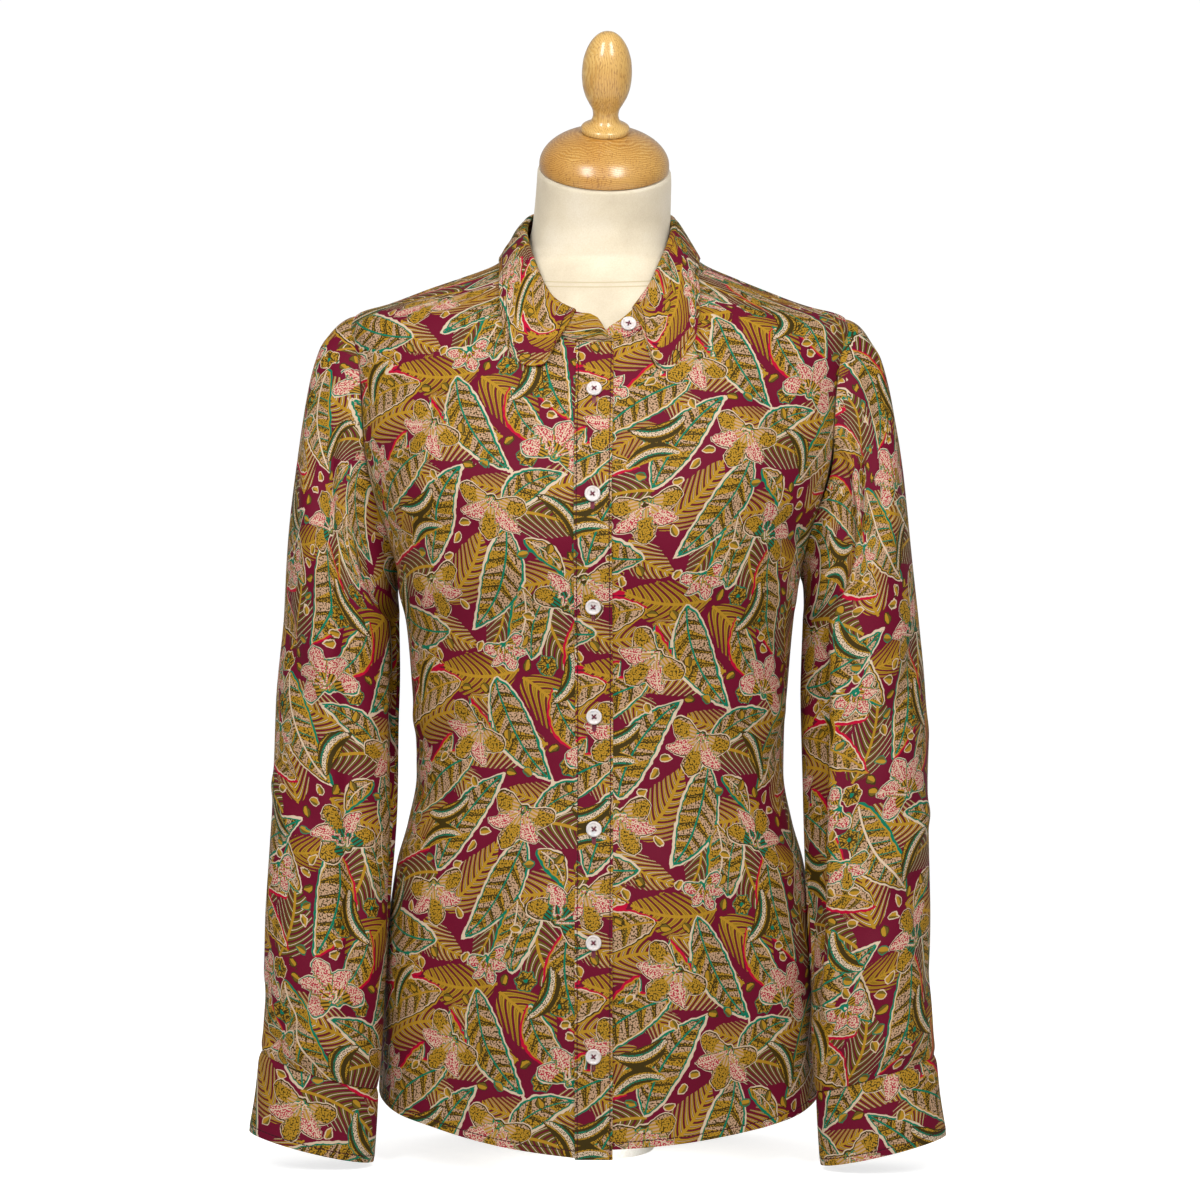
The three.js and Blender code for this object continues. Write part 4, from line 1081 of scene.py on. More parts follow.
# %% The yoke
def plan(turn, z):
    """A point of the body seen from above."""
    return body_point(turn, z)[..., :2]


YOKE_NECK_TURN = neck_turn_at_y(SHOULDER_SEAM_Y)
FLIP = np.array([-1, 1])
tip = plan(*armhole(FRONT_ROUND))
neck_start = plan(*neck_seam(YOKE_NECK_TURN))
shoulder = mix(tip, neck_start, np.linspace(0, 1, span(122))[:, None])
neck_run = plan(*neck_seam(np.linspace(YOKE_NECK_TURN, 360 - YOKE_NECK_TURN, span(210))))
upper = np.vstack([shoulder, neck_run[1:-1], (shoulder * FLIP)[::-1]])
i = np.linspace(0, 1, len(upper))
corner = armhole(BACK_ROUND)[0]
lower = plan(mix(corner, 360 - corner, i), np.full(len(i), float(YOKE_Z)))
v = np.linspace(0, 1, span(120))[:, None]
rounds = mix(FRONT_ROUND, BACK_ROUND, v[:, 0])
bow = plan(*armhole(rounds)) - mix(upper[0], lower[0], v)
flat_plan = mix(upper, lower, v[..., None])
flat_plan += bow[:, None] * (1 - i[:, None]) + (bow * FLIP)[:, None] * i[:, None]
turn, z = lift(flat_plan[..., 0], flat_plan[..., 1])
points = body_point(turn, z)[::-1]
turn, z = turn[::-1], z[::-1]
from_side, from_other = lengths(points, 1)
from_back, from_front = lengths(points, 0)
shoulder_part = (np.abs(i - 0.5) > 0.5 - len(shoulder) / len(i)).astype(float)
relief = seam_roll(from_side, from_other, from_back) + waves(points[..., :2], 0.35, 90, 3)
relief += seam_roll(from_front) * shoulder_part
place = np.stack([points[..., 0], from_back], -1) + (20, 300)
yoke = cloth("yoke_cloth", points, place, relief, THIN, stitched(from_back, place[..., 0], 1.6))
dress("yoke")

# %% [markdown]
# ## Sleeves and cuffs
# A sleeve is a tube. Its head leaves the armhole level, turns over and falls to the upper arm, along a
# cubic curve at each place round it; below that it is a stack of rings that narrow towards the cuff.
# The cuff is a band that runs once round the wrist and laps over its own start.

# %% Sleeve rings
SLEEVE = table("z x y half deep tilt", [
    [70, 203, -65.5, 42.8, 29.5, 17.5],
    [78, 202.4, -65, 44.6, 33.5, 16],
    [92, 201.2, -62.5, 44.4, 39.5, 13],
    [122, 200.2, -57, 43.5, 43.5, 7],
    [192, 199.2, -39, 45.6, 49, 2],
    [264, 197.7, -15, 46.3, 54, 0],
    [340, 196.7, -3, 46.2, 58, 1],
    [400, 195.1, 2, 43.4, 61, 5],
])
SLEEVE_TOP_Z, SLEEVE_END_Z = 400, 70.6
RIGHT_EASE = 5 # extra roundness of the right sleeve's head


def ring_point(ring, key, round_):
    """An ellipse about (x, y, z), with its outer side raised by `tilt`."""
    across = ring("half", key) * cos(round_)
    x = ring("x", key) + across * cos(ring("tilt", key))
    y = ring("y", key) - ring("deep", key) * sin(round_)
    level = ring("z", key) + across * sin(ring("tilt", key))
    return np.stack(np.broadcast_arrays(x, y, level), -1)


def around(top, side, under, round_):
    """A value that is `top` over the shoulder, `side` in front and behind and `under` at the underarm."""
    c = cos(round_)
    return mix(side, (top + under) / 2, c * c) + (top - under) / 2 * c


def sleeve_head(side, round_, t):
    """A cubic Bezier curve from the armhole to the upper arm's ring."""
    start_turn, start_z = armhole(round_)
    start = body_point(side * start_turn, start_z) * (side, 1, 1)
    end = ring_point(SLEEVE, SLEEVE_TOP_Z, round_)
    s, ease = sin(round_), RIGHT_EASE * (side < 0)
    out = np.stack([around(29 + ease, 11, 4, round_), -7 * s, around(-3, -12, -6, round_)], -1)
    back = np.stack([around(ease - 14, -3, 0, round_), 3 * s, around(146, 50, 12, round_)], -1)
    t = t[..., None]
    first, second = start + out, end + back
    return (1 - t) ** 3 * start + 3 * t * (1 - t) ** 2 * first + 3 * t * t * (1 - t) * second + t ** 3 * end


# Lines on the sleeves: distance from the top line towards the front, height above the cuff, at both
# ends; then width and height.
SLEEVE_LINES = {
    1: [
        (104, 60, 103, 420, 7, 1.4), (60, 380, 20, 520, 14, 1.6),
        (30, 300, 70, 240, 14, -1.8), (20, 180, 80, 130, 12, 1.6), (40, 20, 70, 90, 10, 1.8),
        (96, 14, 70, 66, 8, -2.2), (10, 60, 40, 130, 12, -1.6), (-60, 120, -20, 240, 20, 1.8),
        (-80, 260, -110, 420, 18, -2.0), (70, 470, 96, 400, 10, -2.0), (50, 560, 66, 470, 12, 1.4),
    ],
    -1: [
        (96, 90, 92, 380, 9, -1.8), (80, 100, 78, 360, 10, 1.4), (60, 400, 24, 530, 14, 1.6),
        (34, 320, 74, 250, 14, -1.8), (24, 200, 84, 140, 12, 1.5), (20, 10, 62, 52, 9, -3.0),
        (44, 8, 84, 60, 8, 1.8), (6, 60, 30, 150, 12, 0.8), (-60, 140, -24, 260, 20, 0.6),
        (-84, 240, -104, 420, 18, -2.0), (74, 480, 98, 400, 10, -2.2), (46, 560, 64, 480, 12, 1.4),
    ],
}
# The long fold of each sleeve: its edge, its lower and upper end, and its depth.
TUCKS = {1: (108, 60, 500, 9.0), -1: (136, 90, 450, 6.0)}


def tuck(at, edge, low, high, deep):
    """A fold's edge along the sleeve: `deep` just past the edge, and back to nothing over 45 mm."""
    past = smooth_step(at[..., 0], edge, edge + 5) - smooth_step(at[..., 0], edge + 10, edge + 55)
    run = smooth_step(at[..., 1], low, low + 70) - smooth_step(at[..., 1], high - 110, high)
    return -deep * past * run


def sleeve(side, name, node, offset, seed):
    """One sleeve: the head and the rings below it, closed to a tube at the underarm."""
    round_, head = np.meshgrid(np.linspace(-180, 180, 136), np.linspace(0, 1, span(235)))
    levels = np.linspace(SLEEVE_TOP_Z, SLEEVE_END_Z, span(SLEEVE_TOP_Z - SLEEVE_END_Z))[1:]
    arm_round, arm_z = np.meshgrid(round_[0], levels)
    points = np.vstack([sleeve_head(side, round_, head), ring_point(SLEEVE, arm_z, arm_round)])
    from_head, from_cuff = lengths(points, 0)
    around_, _ = lengths(points, 1)
    across = around_ - around_[:, [round_.shape[1] // 2]]
    at = np.stack([across, from_cuff], -1)
    relief = seam_roll(from_head, deep=0.15) + 1.1 * np.exp(-from_cuff / 7)
    relief += creases(at, SLEEVE_LINES[side]) * smooth_step(from_cuff, 0, 12) * smooth_step(from_head, 0, 25)
    relief += tuck(at, *TUCKS[side])
    relief += waves(at, 0.7, 100, seed) * smooth_step(from_head, 0, 20)
    if side < 0:
        points, at, relief = (points * (-1, 1, 1))[:, ::-1], at[:, ::-1] * (-1, 1), relief[:, ::-1].copy()
    made = cloth(name, points, at + offset, relief, THIN, tube=True)
    dress(node)
    return made


sleeve_right = sleeve(-1, "sleeve_right_cloth", "sleeve_right", (10, 75), 21)
sleeve_left = sleeve(1, "sleeve_left_cloth", "sleeve_left", (97, 160), 33)

# %% Cuffs
CUFF = table("down x y z half deep tilt", [
    [0, 203.4, -65.7, 70, 44.3, 29.5, 17.5],
    [30, 205.6, -66.5, 42.8, 44.8, 29.8, 15.5],
    [60, 209, -67.5, 14.6, 46, 30, 14],
])
CUFF_HEIGHT, CUFF_START, CUFF_LAP, CUFF_STEP = 60, 250, 36, 38


def cuff_grid(columns, down):
    """Points of the band's inner face, and how far it has climbed onto its own start."""
    points = ring_point(CUFF, down, CUFF_START + columns)
    return points, (FACED + SEAM) * smooth_step(columns, 360 - CUFF_STEP, 360)


def cuff(side, name, node, offset):
    """One cuff: the band moved out by its thickness, and by as much again where it laps itself."""
    columns, down = np.meshgrid(np.linspace(0, 360 + CUFF_LAP, 134), np.linspace(0, CUFF_HEIGHT, 31))
    points, climb = cuff_grid(columns, down)
    from_start, from_end = lengths(points, 1)
    from_top, from_foot = lengths(points, 0)
    puffed = 0.5 * smooth_step(from_top, 0, 6) * smooth_step(from_foot, 0, 5)
    relief = FACED + climb + puffed - 0.5 + waves(np.stack([from_start, from_top], -1), 0.3, 60, 4)
    relief = np.maximum(relief, climb + 0.8) - 1.1 * np.exp(-from_top / 2.5)
    edge = np.minimum(np.minimum(from_start, from_end), from_foot)
    place = np.stack([from_start, from_foot], -1) + offset
    stitches = stitched(edge, np.where(from_foot < from_end, from_start, from_foot), 5.0)
    if side < 0:
        points, place, relief = (points * (-1, 1, 1))[:, ::-1], place[:, ::-1] * (-1, 1), relief[:, ::-1]
        stitches = stitches[:, ::-1]
    made = cloth(name, points, place, relief, FACED - 0.3, stitches)
    dress(node)


cuff(-1, "cuff_right_cloth", "cuff_right", (60, 12))
cuff(1, "cuff_left_cloth", "cuff_left", (140, 96))

# %% [markdown]
# ## Placket, stand and collar
# The three interlined pieces hold their shape. The placket is a band down the front edge. The stand
# rises from the neck seam, and the leaf is rolled over its top edge and falls to the shoulders.

# %% The placket
PLACKET_HALF = 13.5
u = np.linspace(-PLACKET_HALF, PLACKET_HALF, 17)
levels = np.linspace(HEM("z", 0), neck_seam(0.0)[1] - SEAM, span(600))[:, None]
turn = turn_at(u, levels)
points = body_point(turn, levels + 0 * u)
from_left, from_right = lengths(points, 1)
from_hem, from_top = lengths(points, 0)
edge = np.minimum(from_left, from_right)
relief = SEAM + FACED - 0.35 * np.exp(-(edge / 1.2) ** 2) + waves(points[..., ::2], 0.25, 70, 9)
place = np.stack([u + 0 * levels, from_hem], -1) + (31, 80)
placket = cloth("placket_cloth", points, place, relief, FACED - 0.2, stitched(edge, from_hem, 1.8))
dress("placket")

# %% The stand
FOLD_HALF, FOLD_DEEP, COLLAR_RISE = 56.5, 65.5, 0.65
FOLD = table("turn z", [
    [0, 621.5], [15, 623.5], [25, 627.5], [35, 634], [45, 645], [55, 658], [65, 669.5], [75, 679.5],
    [90, 691], [105, 699.5], [120, 704], [150, 707], [180, 708],
])
# The stand is rounded off at its ends: the share of its height that it has at each turn.
STAND_END = {
    -1: table("turn share", [[-7.6, 0.08], [-5.9, 0.24], [-4.2, 0.5], [-2.8, 0.73], [-0.7, 0.9], [4, 1]]),
    1: table("turn share", [[-4, 0.1], [0, 0.24], [4.2, 0.4], [8, 0.54], [15, 0.68], [28, 0.88], [36, 1]]),
}
STAND_LAP, STAND_LAP_BACK = 12, 22


def own_turn(turn):
    """The turn from the centre front, on whichever side it is."""
    return np.where(turn > 180, 360 - turn, turn)


def stand_point(turn, share):
    """From the neck seam (share 0) towards the fold (share 1). The right end lies over the left one."""
    own = own_turn(turn)
    foot = body_point(*neck_seam(turn)) + (0, 0, COLLAR_RISE)
    fold = np.stack([FOLD_HALF * sin(turn), COLLAR_Y - FOLD_DEEP * cos(turn), FOLD("z", np.abs(own))], -1)
    kept = np.where(turn > 180, STAND_END[-1]("share", own), STAND_END[1]("share", own))
    over_left = np.where(turn > 180, (FACED + SEAM) * smooth_step(-own, -STAND_LAP_BACK, -STAND_LAP), 0)
    return mix(foot, fold, (share * kept)[..., None]) - over_left[..., None] * (0, 1, 0)


turn, share = np.meshgrid(np.linspace(-4, 367.6, 230), np.linspace(0, 1, 15))
points = stand_point(turn, share)
from_left, from_right = lengths(points, 1)
from_foot, _ = lengths(points, 0)
edge = np.minimum(np.minimum(from_left, from_right), from_foot)
relief = -0.3 * np.exp(-edge ** 2)
place = np.stack([from_left, from_foot], -1) + (5, 30)
stand = cloth("collar_stand_cloth", points, place, relief, FACED - 0.2, stitched(edge, from_left, 1.8))
dress("collar_stand")

# %% The collar leaf
# The free edge of each half: the turn, x, z, and 1 where the edge lies behind the shoulder's ridge.
LEAF_EDGE = {
    -1: [
        [15.5, 32, 590, 0], [17, 34.5, 584.5, 0], [20, 40, 581.5, 0], [25, 49, 582, 0], [32, 57.5, 587.5, 0],
        [42, 65, 601, 0], [58, 70, 628, 0], [75, 72.5, 656, 0], [88, 73.5, 667, 0], [105, 73.5, 668.5, 1],
        [120, 67.5, 669, 1], [140, 54, 666.5, 1], [160, 30, 664, 1], [180, 0, 663, 1],
    ],
    1: [
        [27, 40, 590, 0], [28.5, 44, 580.5, 0], [31, 50, 577.5, 0], [36, 58.5, 583, 0], [42, 66, 593, 0],
        [50, 72.5, 606.5, 0], [62, 75, 633, 0], [76, 73.5, 655.5, 0], [88, 73.5, 667, 0],
        [105, 73.5, 668.5, 1], [120, 67.5, 669, 1], [140, 54, 666.5, 1], [160, 30, 664, 1],
    ],
}
LEAF_CLEAR, LEAF_BULGE = 3.7, 1


def edge_rows(side):
    """(turn, x, y, z) of the leaf's free edge at its key turns, a little off the body."""
    rows = np.array(LEAF_EDGE[side], float)
    x = np.minimum(rows[:, 1], BODY("half", rows[:, 2]))
    turn = turn_at(side * x, rows[:, 2], rows[:, 3] > 0.5)
    points = body_point(turn, rows[:, 2]) + LEAF_CLEAR * body_normal(turn, rows[:, 2])
    return np.column_stack([rows[:, 0] if side > 0 else 360 - rows[:, 0], points])


LEAF_LINE = table("turn x y z", np.vstack([edge_rows(1), edge_rows(-1)[::-1]]))
turns = np.concatenate([
    np.linspace(27, 60, 40)[:-1], np.linspace(60, 300, 100)[:-1], np.linspace(300, 344.5, 50),
])
turn, share = np.meshgrid(turns, np.linspace(1, 0, 27)[:-1])
top = stand_point(turns, np.ones(len(turns)))
out = unit(np.stack([top[:, 0], top[:, 1] - COLLAR_Y, 0 * turns], -1))
rise = np.array([0, 0, 1.0])
free = np.stack([LEAF_LINE(axis, turns) for axis in "xyz"], -1)
fall = mix(top + out * (SEAM + FACED), free, share[..., None])
bulge = LEAF_BULGE * np.sin(np.pi * np.sqrt(share))[..., None]
fall += bulge * (out + 0.6 * rise)
roll = np.radians(np.linspace(0, 180, 11))[:, None, None]
ROLL_RADIUS = FACED / 2 + SEAM + FACED
rolled = top - out * FACED / 2 + ROLL_RADIUS * (np.cos(roll) * out + 0.8 * np.sin(roll) * rise)
points = np.vstack([fall, rolled])
from_left, from_right = lengths(points, 1)
from_free, _ = lengths(points, 0)
edge = np.minimum(np.minimum(from_left, from_right), from_free)
relief = waves(np.stack([from_left, from_free], -1), 0.25, 50, 14) - 0.4 * np.exp(-(edge / 1.1) ** 2)
place = np.stack([from_left.mean(0) + 0 * edge, 70 - from_free], -1) + (13, 158)
along = np.where(from_free < np.minimum(from_left, from_right), from_left, from_free)
leaf = cloth("collar_leaf_cloth", points, place, relief, FACED - 0.3, stitched(edge, along, 5.0))
dress("collar_leaf")

# %% [markdown]
# ## Buttons
# Each button is cast in pearly polyester, which passes for shell: a flat back, a raised rim and a dished
# middle with four holes, sewn with a cross of dark thread. The profile is a curve of the radius, spun;
# the holes are sunk where the grid comes within a hole's radius of one of four points.

# %% Pearly polyester and sewing thread
# Polyester is cast with a pearl filler and tumbled to a gloss: pale clouds 5 mm across lie under a clear
# surface. The thread is spun from two plies, whose lighter and darker turns are 0.4 mm apart.
pearl = speckled(
    "polished_pearl_polyester", {"Scale": 180.0, "Detail": 3.0, "Distortion": 1.5},
    [(0.3, "#c2b5ae"), (0.5, "#d3cac6"), (0.7, "#c0c1c2")],
    {"Roughness": 0.24, "Coat Weight": 0.5, "Coat Roughness": 0.08})
sewing_thread = speckled(
    "polyester_sewing_thread", {"Scale": 2400.0, "Detail": 1.0}, [(0.35, "#4d1022"), (0.65, "#7a2038")],
    {"Roughness": 0.55})
print("pearl:", pearl.name, "thread:", sewing_thread.name)

# %% Buttons
BUTTON_RADIUS = 5.7 # mm, an 18 line shirt button
HOLE_OFF, HOLE_RADIUS = 1.75, 0.7 # mm
DIAGONAL = 0.707 # the sine and the cosine of 45 degrees
FACE = table("r height", [
    [0, 1.45], [2.6, 1.5], [3.5, 1.62], [4.1, 2.0], [4.6, 2.2], [5.1, 2.12], [5.5, 1.7], [5.7, 1.1],
])


def button_points():
    """Rings of a button: the face by its table, sunk at the holes, then round the side and to the back."""
    around_ = np.linspace(0, 2 * np.pi, 65)[:-1]
    radii = np.concatenate([np.linspace(0.02, 2.7, 24), np.linspace(2.8, BUTTON_RADIUS, 18)])[:, None]
    x, y = radii * np.cos(around_), radii * np.sin(around_)
    holes = np.hypot(np.abs(x) - HOLE_OFF * DIAGONAL, np.abs(y) - HOLE_OFF * DIAGONAL)
    sunk = 1.1 * (1 - smooth_step(holes, HOLE_RADIUS * 0.75, HOLE_RADIUS * 1.1))
    face = np.stack([x, y, FACE("height", radii) - sunk], -1)
    back = [np.stack([r * np.cos(around_), r * np.sin(around_), h + 0 * around_], -1)
            for r, h in ((5.7, 0.8), (5.5, 0.3), (5.0, 0.02), (2.5, 0.0), (0.02, 0.0))]
    return np.vstack([np.array(back[::-1]), face[::-1]])


def placed(points, spot, out, spin=0.0):
    """Turns points so that their z runs along `out`, after a spin about it, and moves them to the spot."""
    side = unit(np.cross(np.array([0, 0, 1.0]), out))
    up = np.cross(out, side)
    across = math.cos(spin) * side + math.sin(spin) * up
    return spot + points @ np.array([across, np.cross(out, across), out])


def strand(points, radius, sides=8):
    """Rings of a thread along a path in a plane through the button's axis."""
    way = unit(np.gradient(points, axis=0))
    flat_side = unit(np.cross(way, (0, 0, 1.0)))
    other = np.cross(flat_side, way)
    turn = np.linspace(0, 2 * np.pi, sides + 1)[:-1, None]
    size = radius * np.sqrt(np.clip(1 - np.linspace(-1, 1, len(points)) ** 16, 0.0004, 1))[:, None, None]
    return points[:, None] + size * (np.cos(turn) * flat_side[:, None] + np.sin(turn) * other[:, None])


BUTTON_RINGS = button_points()


def cross_threads():
    """Three passes of thread on each of two diagonals, in arcs from hole to hole."""
    made = []
    t = np.linspace(-1, 1, 17)
    for way in ((DIAGONAL, DIAGONAL), (-DIAGONAL, DIAGONAL)):
        for shift in (-0.34, 0.0, 0.34):
            x = HOLE_OFF * 1.02 * t * way[0] - shift * way[1]
            y = HOLE_OFF * 1.02 * t * way[1] + shift * way[0]
            z = 0.9 + 1.15 * np.sqrt(np.clip(1 - t ** 4, 0, 1)) - 0.7 * abs(shift)
            made.append(strand(np.stack([x, y, z], -1), 0.21))
    return made


def button(name, node, spot, out, spin=0.0):
    """One button, sewn on at a spot with six threads and facing `out`."""
    fit(closed(name, placed(BUTTON_RINGS, spot, out, spin)), pearl, node)
    for i, rings in enumerate(cross_threads()):
        fit(closed(f"{name}_thread_{i + 1}", placed(rings, spot, out, spin)), sewing_thread)


BUTTON_OUT = FACED + 2 * SEAM
TOP_BUTTON_Z, BUTTON_PITCH = 564.5, 81
levels = np.linspace(TOP_BUTTON_Z, 60, 4000)
run = running_length(body_point(0 * levels, levels))
button_levels = np.interp(np.arange(7) * BUTTON_PITCH, run, levels)
# Each button is sewn on at a slightly different turn.
for i, level in enumerate(button_levels):
    out = body_normal(np.zeros(1), np.array([level]))[0]
    spot = body_point(np.zeros(1), np.array([level]))[0] + BUTTON_OUT * out
    button(f"button_{i + 1}_shell", f"button_{i + 1}", spot, out, 0.12 * math.sin(5 * i))
print("button levels", button_levels.round(1))

# %% Buttons of the collar and the cuffs, and the buttonholes
def frame_at(grid):
    """The middle point of a 3 x 3 grid and its outward unit normal."""
    return grid[1, 1], grid_normals(grid)[1, 1]


turn, share = np.meshgrid([18.0, 19, 20], [0.45, 0.55, 0.65])
spot, out = frame_at(stand_point(turn, share))
button("button_collar_shell", "button_collar", spot + 0.9 * out, out, 0.5)
cuff_turn, down = np.meshgrid([379.8, 380.8, 381.8], [29.0, 30, 31])
for side, word in ((-1, "right"), (1, "left")):
    seat, climb = cuff_grid(cuff_turn, down)
    spot, out = frame_at(seat)
    spot = spot + out * (climb[1, 1] + FACED + SEAM)
    button(f"button_cuff_{word}_shell", f"button_cuff_{word}", spot * (side, 1, 1), out * (side, 1, 1))

# A buttonhole is an upright pad of close stitches with a slit, and shows below its button.
BUTTONHOLE_HALF, BUTTONHOLE_LONG, BUTTONHOLE_DOWN = 1.5, 14.0, 4.0
for i, level in enumerate(button_levels):
    x, up = np.meshgrid(np.linspace(-1, 1, 13), np.linspace(-1, 1, 41))
    width = BUTTONHOLE_HALF * np.sqrt(np.clip(1 - np.abs(up) ** 10, 0.1, 1))
    high = level - BUTTONHOLE_DOWN + up * BUTTONHOLE_LONG / 2
    turn = turn_at(x * width, high)
    raised = SEAM + FACED + 0.12 + 0.3 * (1 - x ** 4) * (1 - up ** 8) - 0.3 * np.exp(-(x / 0.18) ** 2)
    points = body_point(turn, high) + body_normal(turn, high) * raised[..., None]
    inner = body_point(turn, high) + body_normal(turn, high) * (SEAM + FACED - 0.3)
    front_faces, back_faces, rim = wall_faces(*x.shape)
    both = np.vstack([points.reshape(-1, 3), inner.reshape(-1, 3)])
    fit(build_mesh(f"buttonhole_{i + 1}", both, np.vstack([front_faces, back_faces, *rim])), sewing_thread)
print("buttonholes", len(button_levels))

# %% [markdown]
# ## The turned cap
# Both wooden pieces are turned from beech and varnished. A lathe cuts a profile, so the mesh is a
# profile spun about the neck's axis. Each point also keeps its place in the block of wood, from which
# the shader draws growth rings and the short dark flecks that tell beech from other pale woods.

# %% Varnished beech
# Beech is pale and close, with rings that hardly show, and varnish gives it a clear gloss. The cap was
# turned across the grain and the finial along it. Its flecks are 0.9 mm wide and 4 mm long.
def beech(name, ring_way, ring_gap, polish, stain):
    """Rings are a wave across the block, bent by noise; flecks are noise drawn out along the grain."""
    material, tree, shader = new_material(name, {
        "Roughness": 0.3, "Coat Weight": 0.7, "Coat Roughness": polish,
    })
    block = add(tree, "ShaderNodeAttribute", attribute_name="block").outputs["Vector"]
    bend = add(tree, "ShaderNodeTexNoise", {"Vector": block, "Scale": 0.045, "Detail": 2.0}).outputs[0]
    across = add(tree, VECTOR, {0: block, 1: ring_way}, operation="DOT_PRODUCT").outputs["Value"]
    phase = add(tree, MATH, {0: bend, 1: 10.0, 2: across}, operation="MULTIPLY_ADD").outputs[0]
    phase = add(tree, MATH, {0: phase, 1: 6.283 / ring_gap}, operation="MULTIPLY").outputs[0]
    rings = add(tree, MATH, {0: phase}, operation="SINE").outputs[0]
    rings = add(tree, "ShaderNodeMapRange", {0: rings, 1: -1.0, 2: 1.0, 3: 0.0, 4: 1.0}).outputs[0]
    wood = add(tree, RAMP, {0: rings}, stops=list(zip((0.0, 0.55, 1.0), stain))).outputs[0]
    grain = add(tree, VECTOR, {0: block, 1: (1.0, 1.0, 0.22)}, operation="MULTIPLY").outputs[0]
    speck = add(tree, "ShaderNodeTexNoise", {"Vector": grain, "Scale": 1.1, "Detail": 1.0}).outputs[0]
    fleck = add(tree, RAMP, {0: speck}, stops=[(0.0, "#7b4a1c"), (0.36, "#8d5a26"), (0.44, "#ffffff")])
    cloudy = add(tree, "ShaderNodeTexNoise", {"Vector": block, "Scale": 0.03, "Detail": 2.0}).outputs[0]
    warmth = add(tree, RAMP, {0: cloudy}, stops=[(0.35, "#ead3ae"), (0.65, "#ffffff")])
    for share, layer in ((0.4, fleck), (0.6, warmth)):
        wood = add(tree, MIX, {0: share, 6: wood, 7: layer.outputs[0]}, data_type="RGBA",
                   blend_type="MULTIPLY").outputs[2]
    tree.links.new(wood, shader.inputs["Base Color"])
    return material


beech_cap = beech("varnished_beech_faceplate_turned", (0.05, 0.2, 1.0), 1.4, 0.22,
                  ("#b08038", "#bc8f48", "#c9a15f"))
beech_finial = beech("varnished_beech_spindle_turned", (1.0, 0.3, 0.03), 1.7, 0.12,
                     ("#c59b56", "#cca762", "#d3b16f"))
print("beech:", beech_cap.name, beech_finial.name)

# %% Cap and finial
upright = cos(NECK_TILT)
AXIS = unit(np.array([NECK_LEAN * upright, -sin(NECK_TILT), upright]))
cap_base = np.array([NECK("x", NECK_TOP_Z), NECK("y", NECK_TOP_Z), NECK_TOP_Z]) + SEAM * AXIS
CAP_RADIUS, CAP_BAND, CAP_RISE, CAP_TOP_RADIUS = 48.3, 3.2, 27, 18.4


def turned(name, node, outline, base, wood):
    """Spins a profile of (radius, height) rows, joined by a smooth curve along their running length."""
    outline = np.array(outline, float)
    run = running_length(outline)
    profile = table("run r h", np.column_stack([run, outline]))
    at = np.linspace(0, run[-1], max(40, int(run[-1] / 0.9)))
    around_ = np.linspace(0, 2 * np.pi, 129)[:-1]
    radius = np.maximum(profile("r", at), 0.02)[:, None]
    block = np.stack([radius * np.cos(around_), radius * np.sin(around_),
                      profile("h", at)[:, None] + 0 * around_], -1)
    made = closed(name, placed(block, base, AXIS))
    held = made.data.attributes.new("block", "FLOAT_VECTOR", "POINT")
    held.data.foreach_set("vector", block.reshape(-1, 3).astype(np.float32).ravel())
    fit(made, wood, node)


last = math.acos(CAP_TOP_RADIUS / CAP_RADIUS)
arc = np.linspace(0, last, 12)
dome = [(CAP_RADIUS * math.cos(a), CAP_BAND + CAP_RISE * math.sin(a)) for a in arc]
cap_top = dome[-1][1]
crown = cap_top + 0.3
foot_of_cap = [(0, 0), (30, 0), (46.4, 0), (47.7, 0.25), (48.2, 1.0)]
cap_outline = [*foot_of_cap, *dome, (17, crown), (9, crown), (0, crown)]
turned("neck_cap_turned", "neck_cap", cap_outline, cap_base, beech_cap)
FINIAL = [
    (0, 0), (12, 0), (16.6, 0), (17.6, 0.7), (18, 1.8), (18.05, 3.2), (17.7, 4.2), (16.6, 5.2), (15, 6),
    (12, 7.6), (10, 10.4), (9.4, 13.5), (10, 17.5), (12.6, 22.5), (15.8, 29), (17.8, 37), (18.4, 44.5),
    (17.9, 53), (16, 61), (12.8, 68), (8.4, 73.4), (4.2, 76), (0, 76.8),
]
turned("finial_turned", "finial", FINIAL, cap_base + (cap_top + SEAM) * AXIS, beech_finial)
print("the cap rises", round(crown, 1), "mm and the finial", FINIAL[-1][1])

# %% [markdown]
# ## Studio
# A white room lights the shirt from all round, but mostly from the front and from behind. Two upright
# softboxes stand high on either side of the camera; they draw the pair of tall highlights on the finial
# and make the front brighter than the sides.

# %% Floor and lights
# The floor is a sheet of smooth matt paper.
paper, tree, shader = new_material("matt_white_paper", {
    "Roughness": 0.9, "Specular IOR Level": 0.1, "Emission Color": (1, 1, 1, 1),
})
spot = add(tree, "ShaderNodeTexCoord").outputs["Object"]
fibre = add(tree, "ShaderNodeTexNoise", {"Vector": spot, "Scale": 30.0}).outputs[0]
tone = add(tree, RAMP, {0: fibre}, stops=[(0.3, "#cfcfce"), (0.7, "#d2d2d2")]).outputs[0]
tree.links.new(tone, shader.inputs["Base Color"])
# The paper looks white, and sends only a little light up under the shirt.
ray = add(tree, "ShaderNodeLightPath").outputs["Is Camera Ray"]
glow = add(tree, "ShaderNodeMapRange", {0: ray, 3: 0.05, 4: 0.72}).outputs[0]
tree.links.new(glow, shader.inputs["Emission Strength"])

FLOOR_HALF = 1100.0 # mm
corner = np.array([[-1, -1, 0], [1, -1, 0], [1, 1, 0], [-1, 1, 0]]) * FLOOR_HALF
floor = build_mesh("floor", corner, np.array([[0, 1, 2, 3]]))
floor.data.materials.append(paper)

world = bpy.data.worlds.new("white_room")
world.use_nodes = True
room = world.node_tree
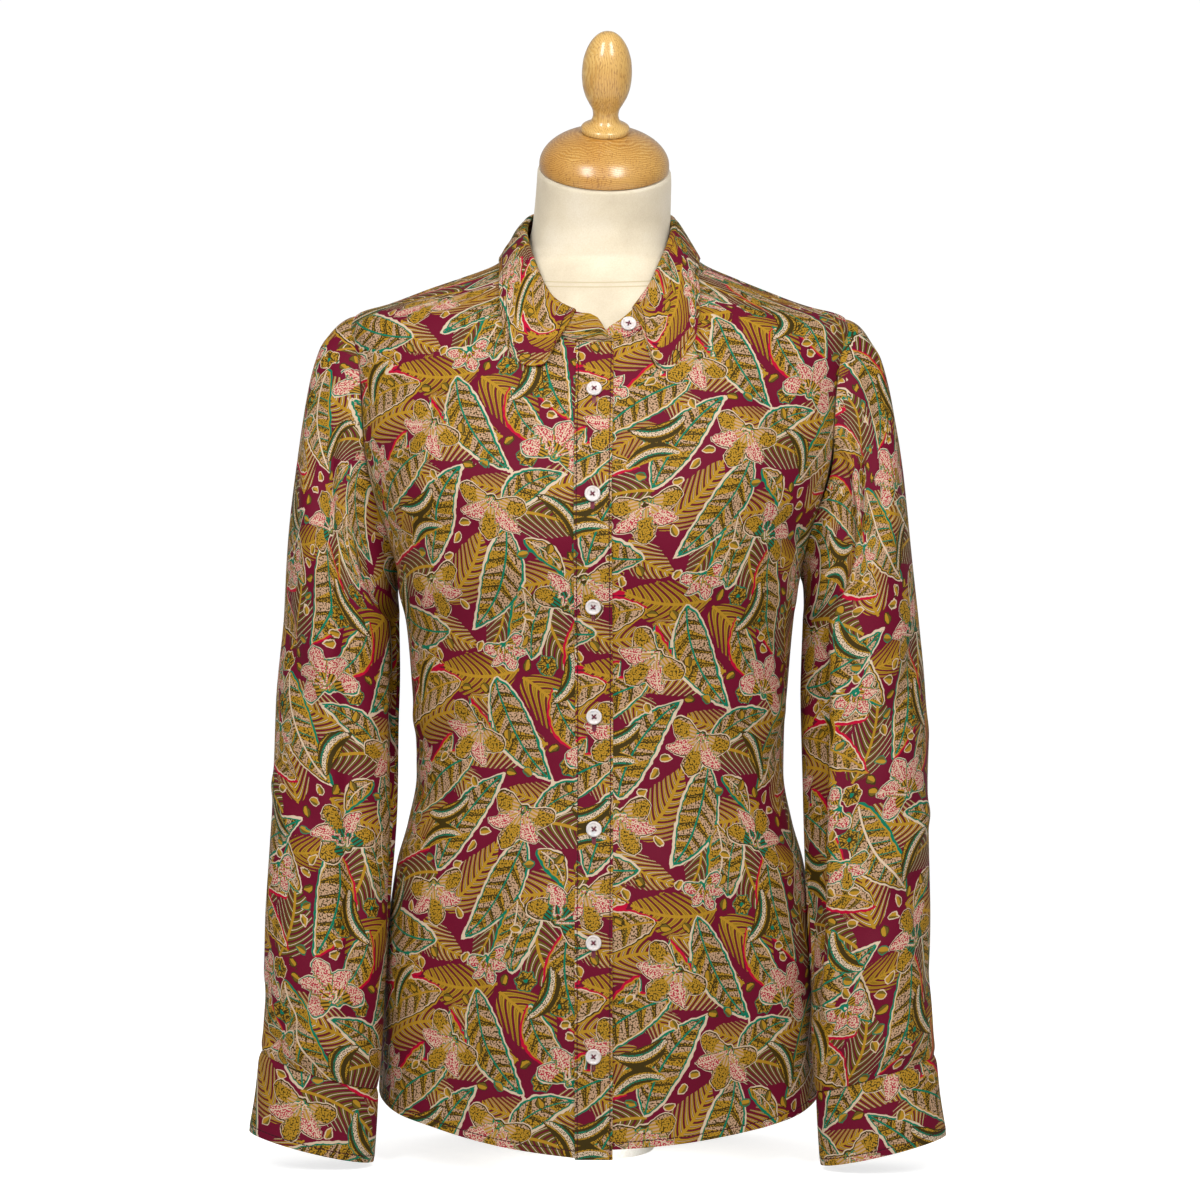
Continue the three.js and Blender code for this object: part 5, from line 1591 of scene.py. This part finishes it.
# The room looks white. What it gives the shirt comes mostly from the front and from behind.
ray = add(room, "ShaderNodeLightPath").outputs
way = add(room, "ShaderNodeTexCoord").outputs["Generated"]
ahead = add(room, "ShaderNodeSeparateXYZ", {0: way}).outputs[1]
soft = add(room, "ShaderNodeMapRange", {0: ahead, 1: -1.0, 2: 0.2, 3: 0.9, 4: 0.2}).outputs[0]
behind = add(room, "ShaderNodeMapRange", {0: ahead, 1: 0.0, 2: 1.0, 3: 0.1, 4: 1.5}).outputs[0]
soft = add(room, MATH, {0: soft, 1: behind}, operation="MAXIMUM").outputs[0]
# Varnish would mirror so bright a room as pale rims, so shiny surfaces see a dimmer one.
dimmed = add(room, "ShaderNodeMapRange", {0: ray["Is Glossy Ray"], 3: 1.0, 4: 0.3}).outputs[0]
soft = add(room, MATH, {0: soft, 1: dimmed}, operation="MULTIPLY").outputs[0]
glow = add(room, MIX, {0: ray["Is Camera Ray"], 2: soft, 3: 1.02}).outputs[0]
room.links.new(glow, room.nodes["Background"].inputs["Strength"])
room.nodes["Background"].inputs["Color"].default_value = (1, 1, 1, 1)
bpy.context.scene.world = world


def softbox(name, place, aim, size, watts):
    """An area light of size (width, height) in metres, turned to face a point."""
    light = bpy.data.lights.new(name, "AREA")
    light.shape = "RECTANGLE"
    light.size, light.size_y = size
    light.energy = watts
    made = bpy.data.objects.new(name, light)
    made.location = place
    way = unit(np.array(aim) - np.array(place))
    made.rotation_euler = (math.acos(-way[2]), 0, math.atan2(-way[0], way[1]))
    bpy.context.scene.collection.objects.link(made)
    return made


for word, x in (("left", -0.5), ("right", 0.5)):
    softbox("softbox_" + word, (x, -1.1, 1.2), (0, 0, 0.5), (0.3, 0.8), 9.6)
softbox("front_light", (0, -3.2, 1.3), (0, 0, 0.4), (1.6, 1.2), 3)
# A small lamp under the hem keeps the foot as pale as the floor that it stands on.
under_light = softbox("under_light", (0.02, -0.088, 0.05), (0.02, -0.03, 0.004), (0.12, 0.02), 0.07)
under_light.visible_camera = False
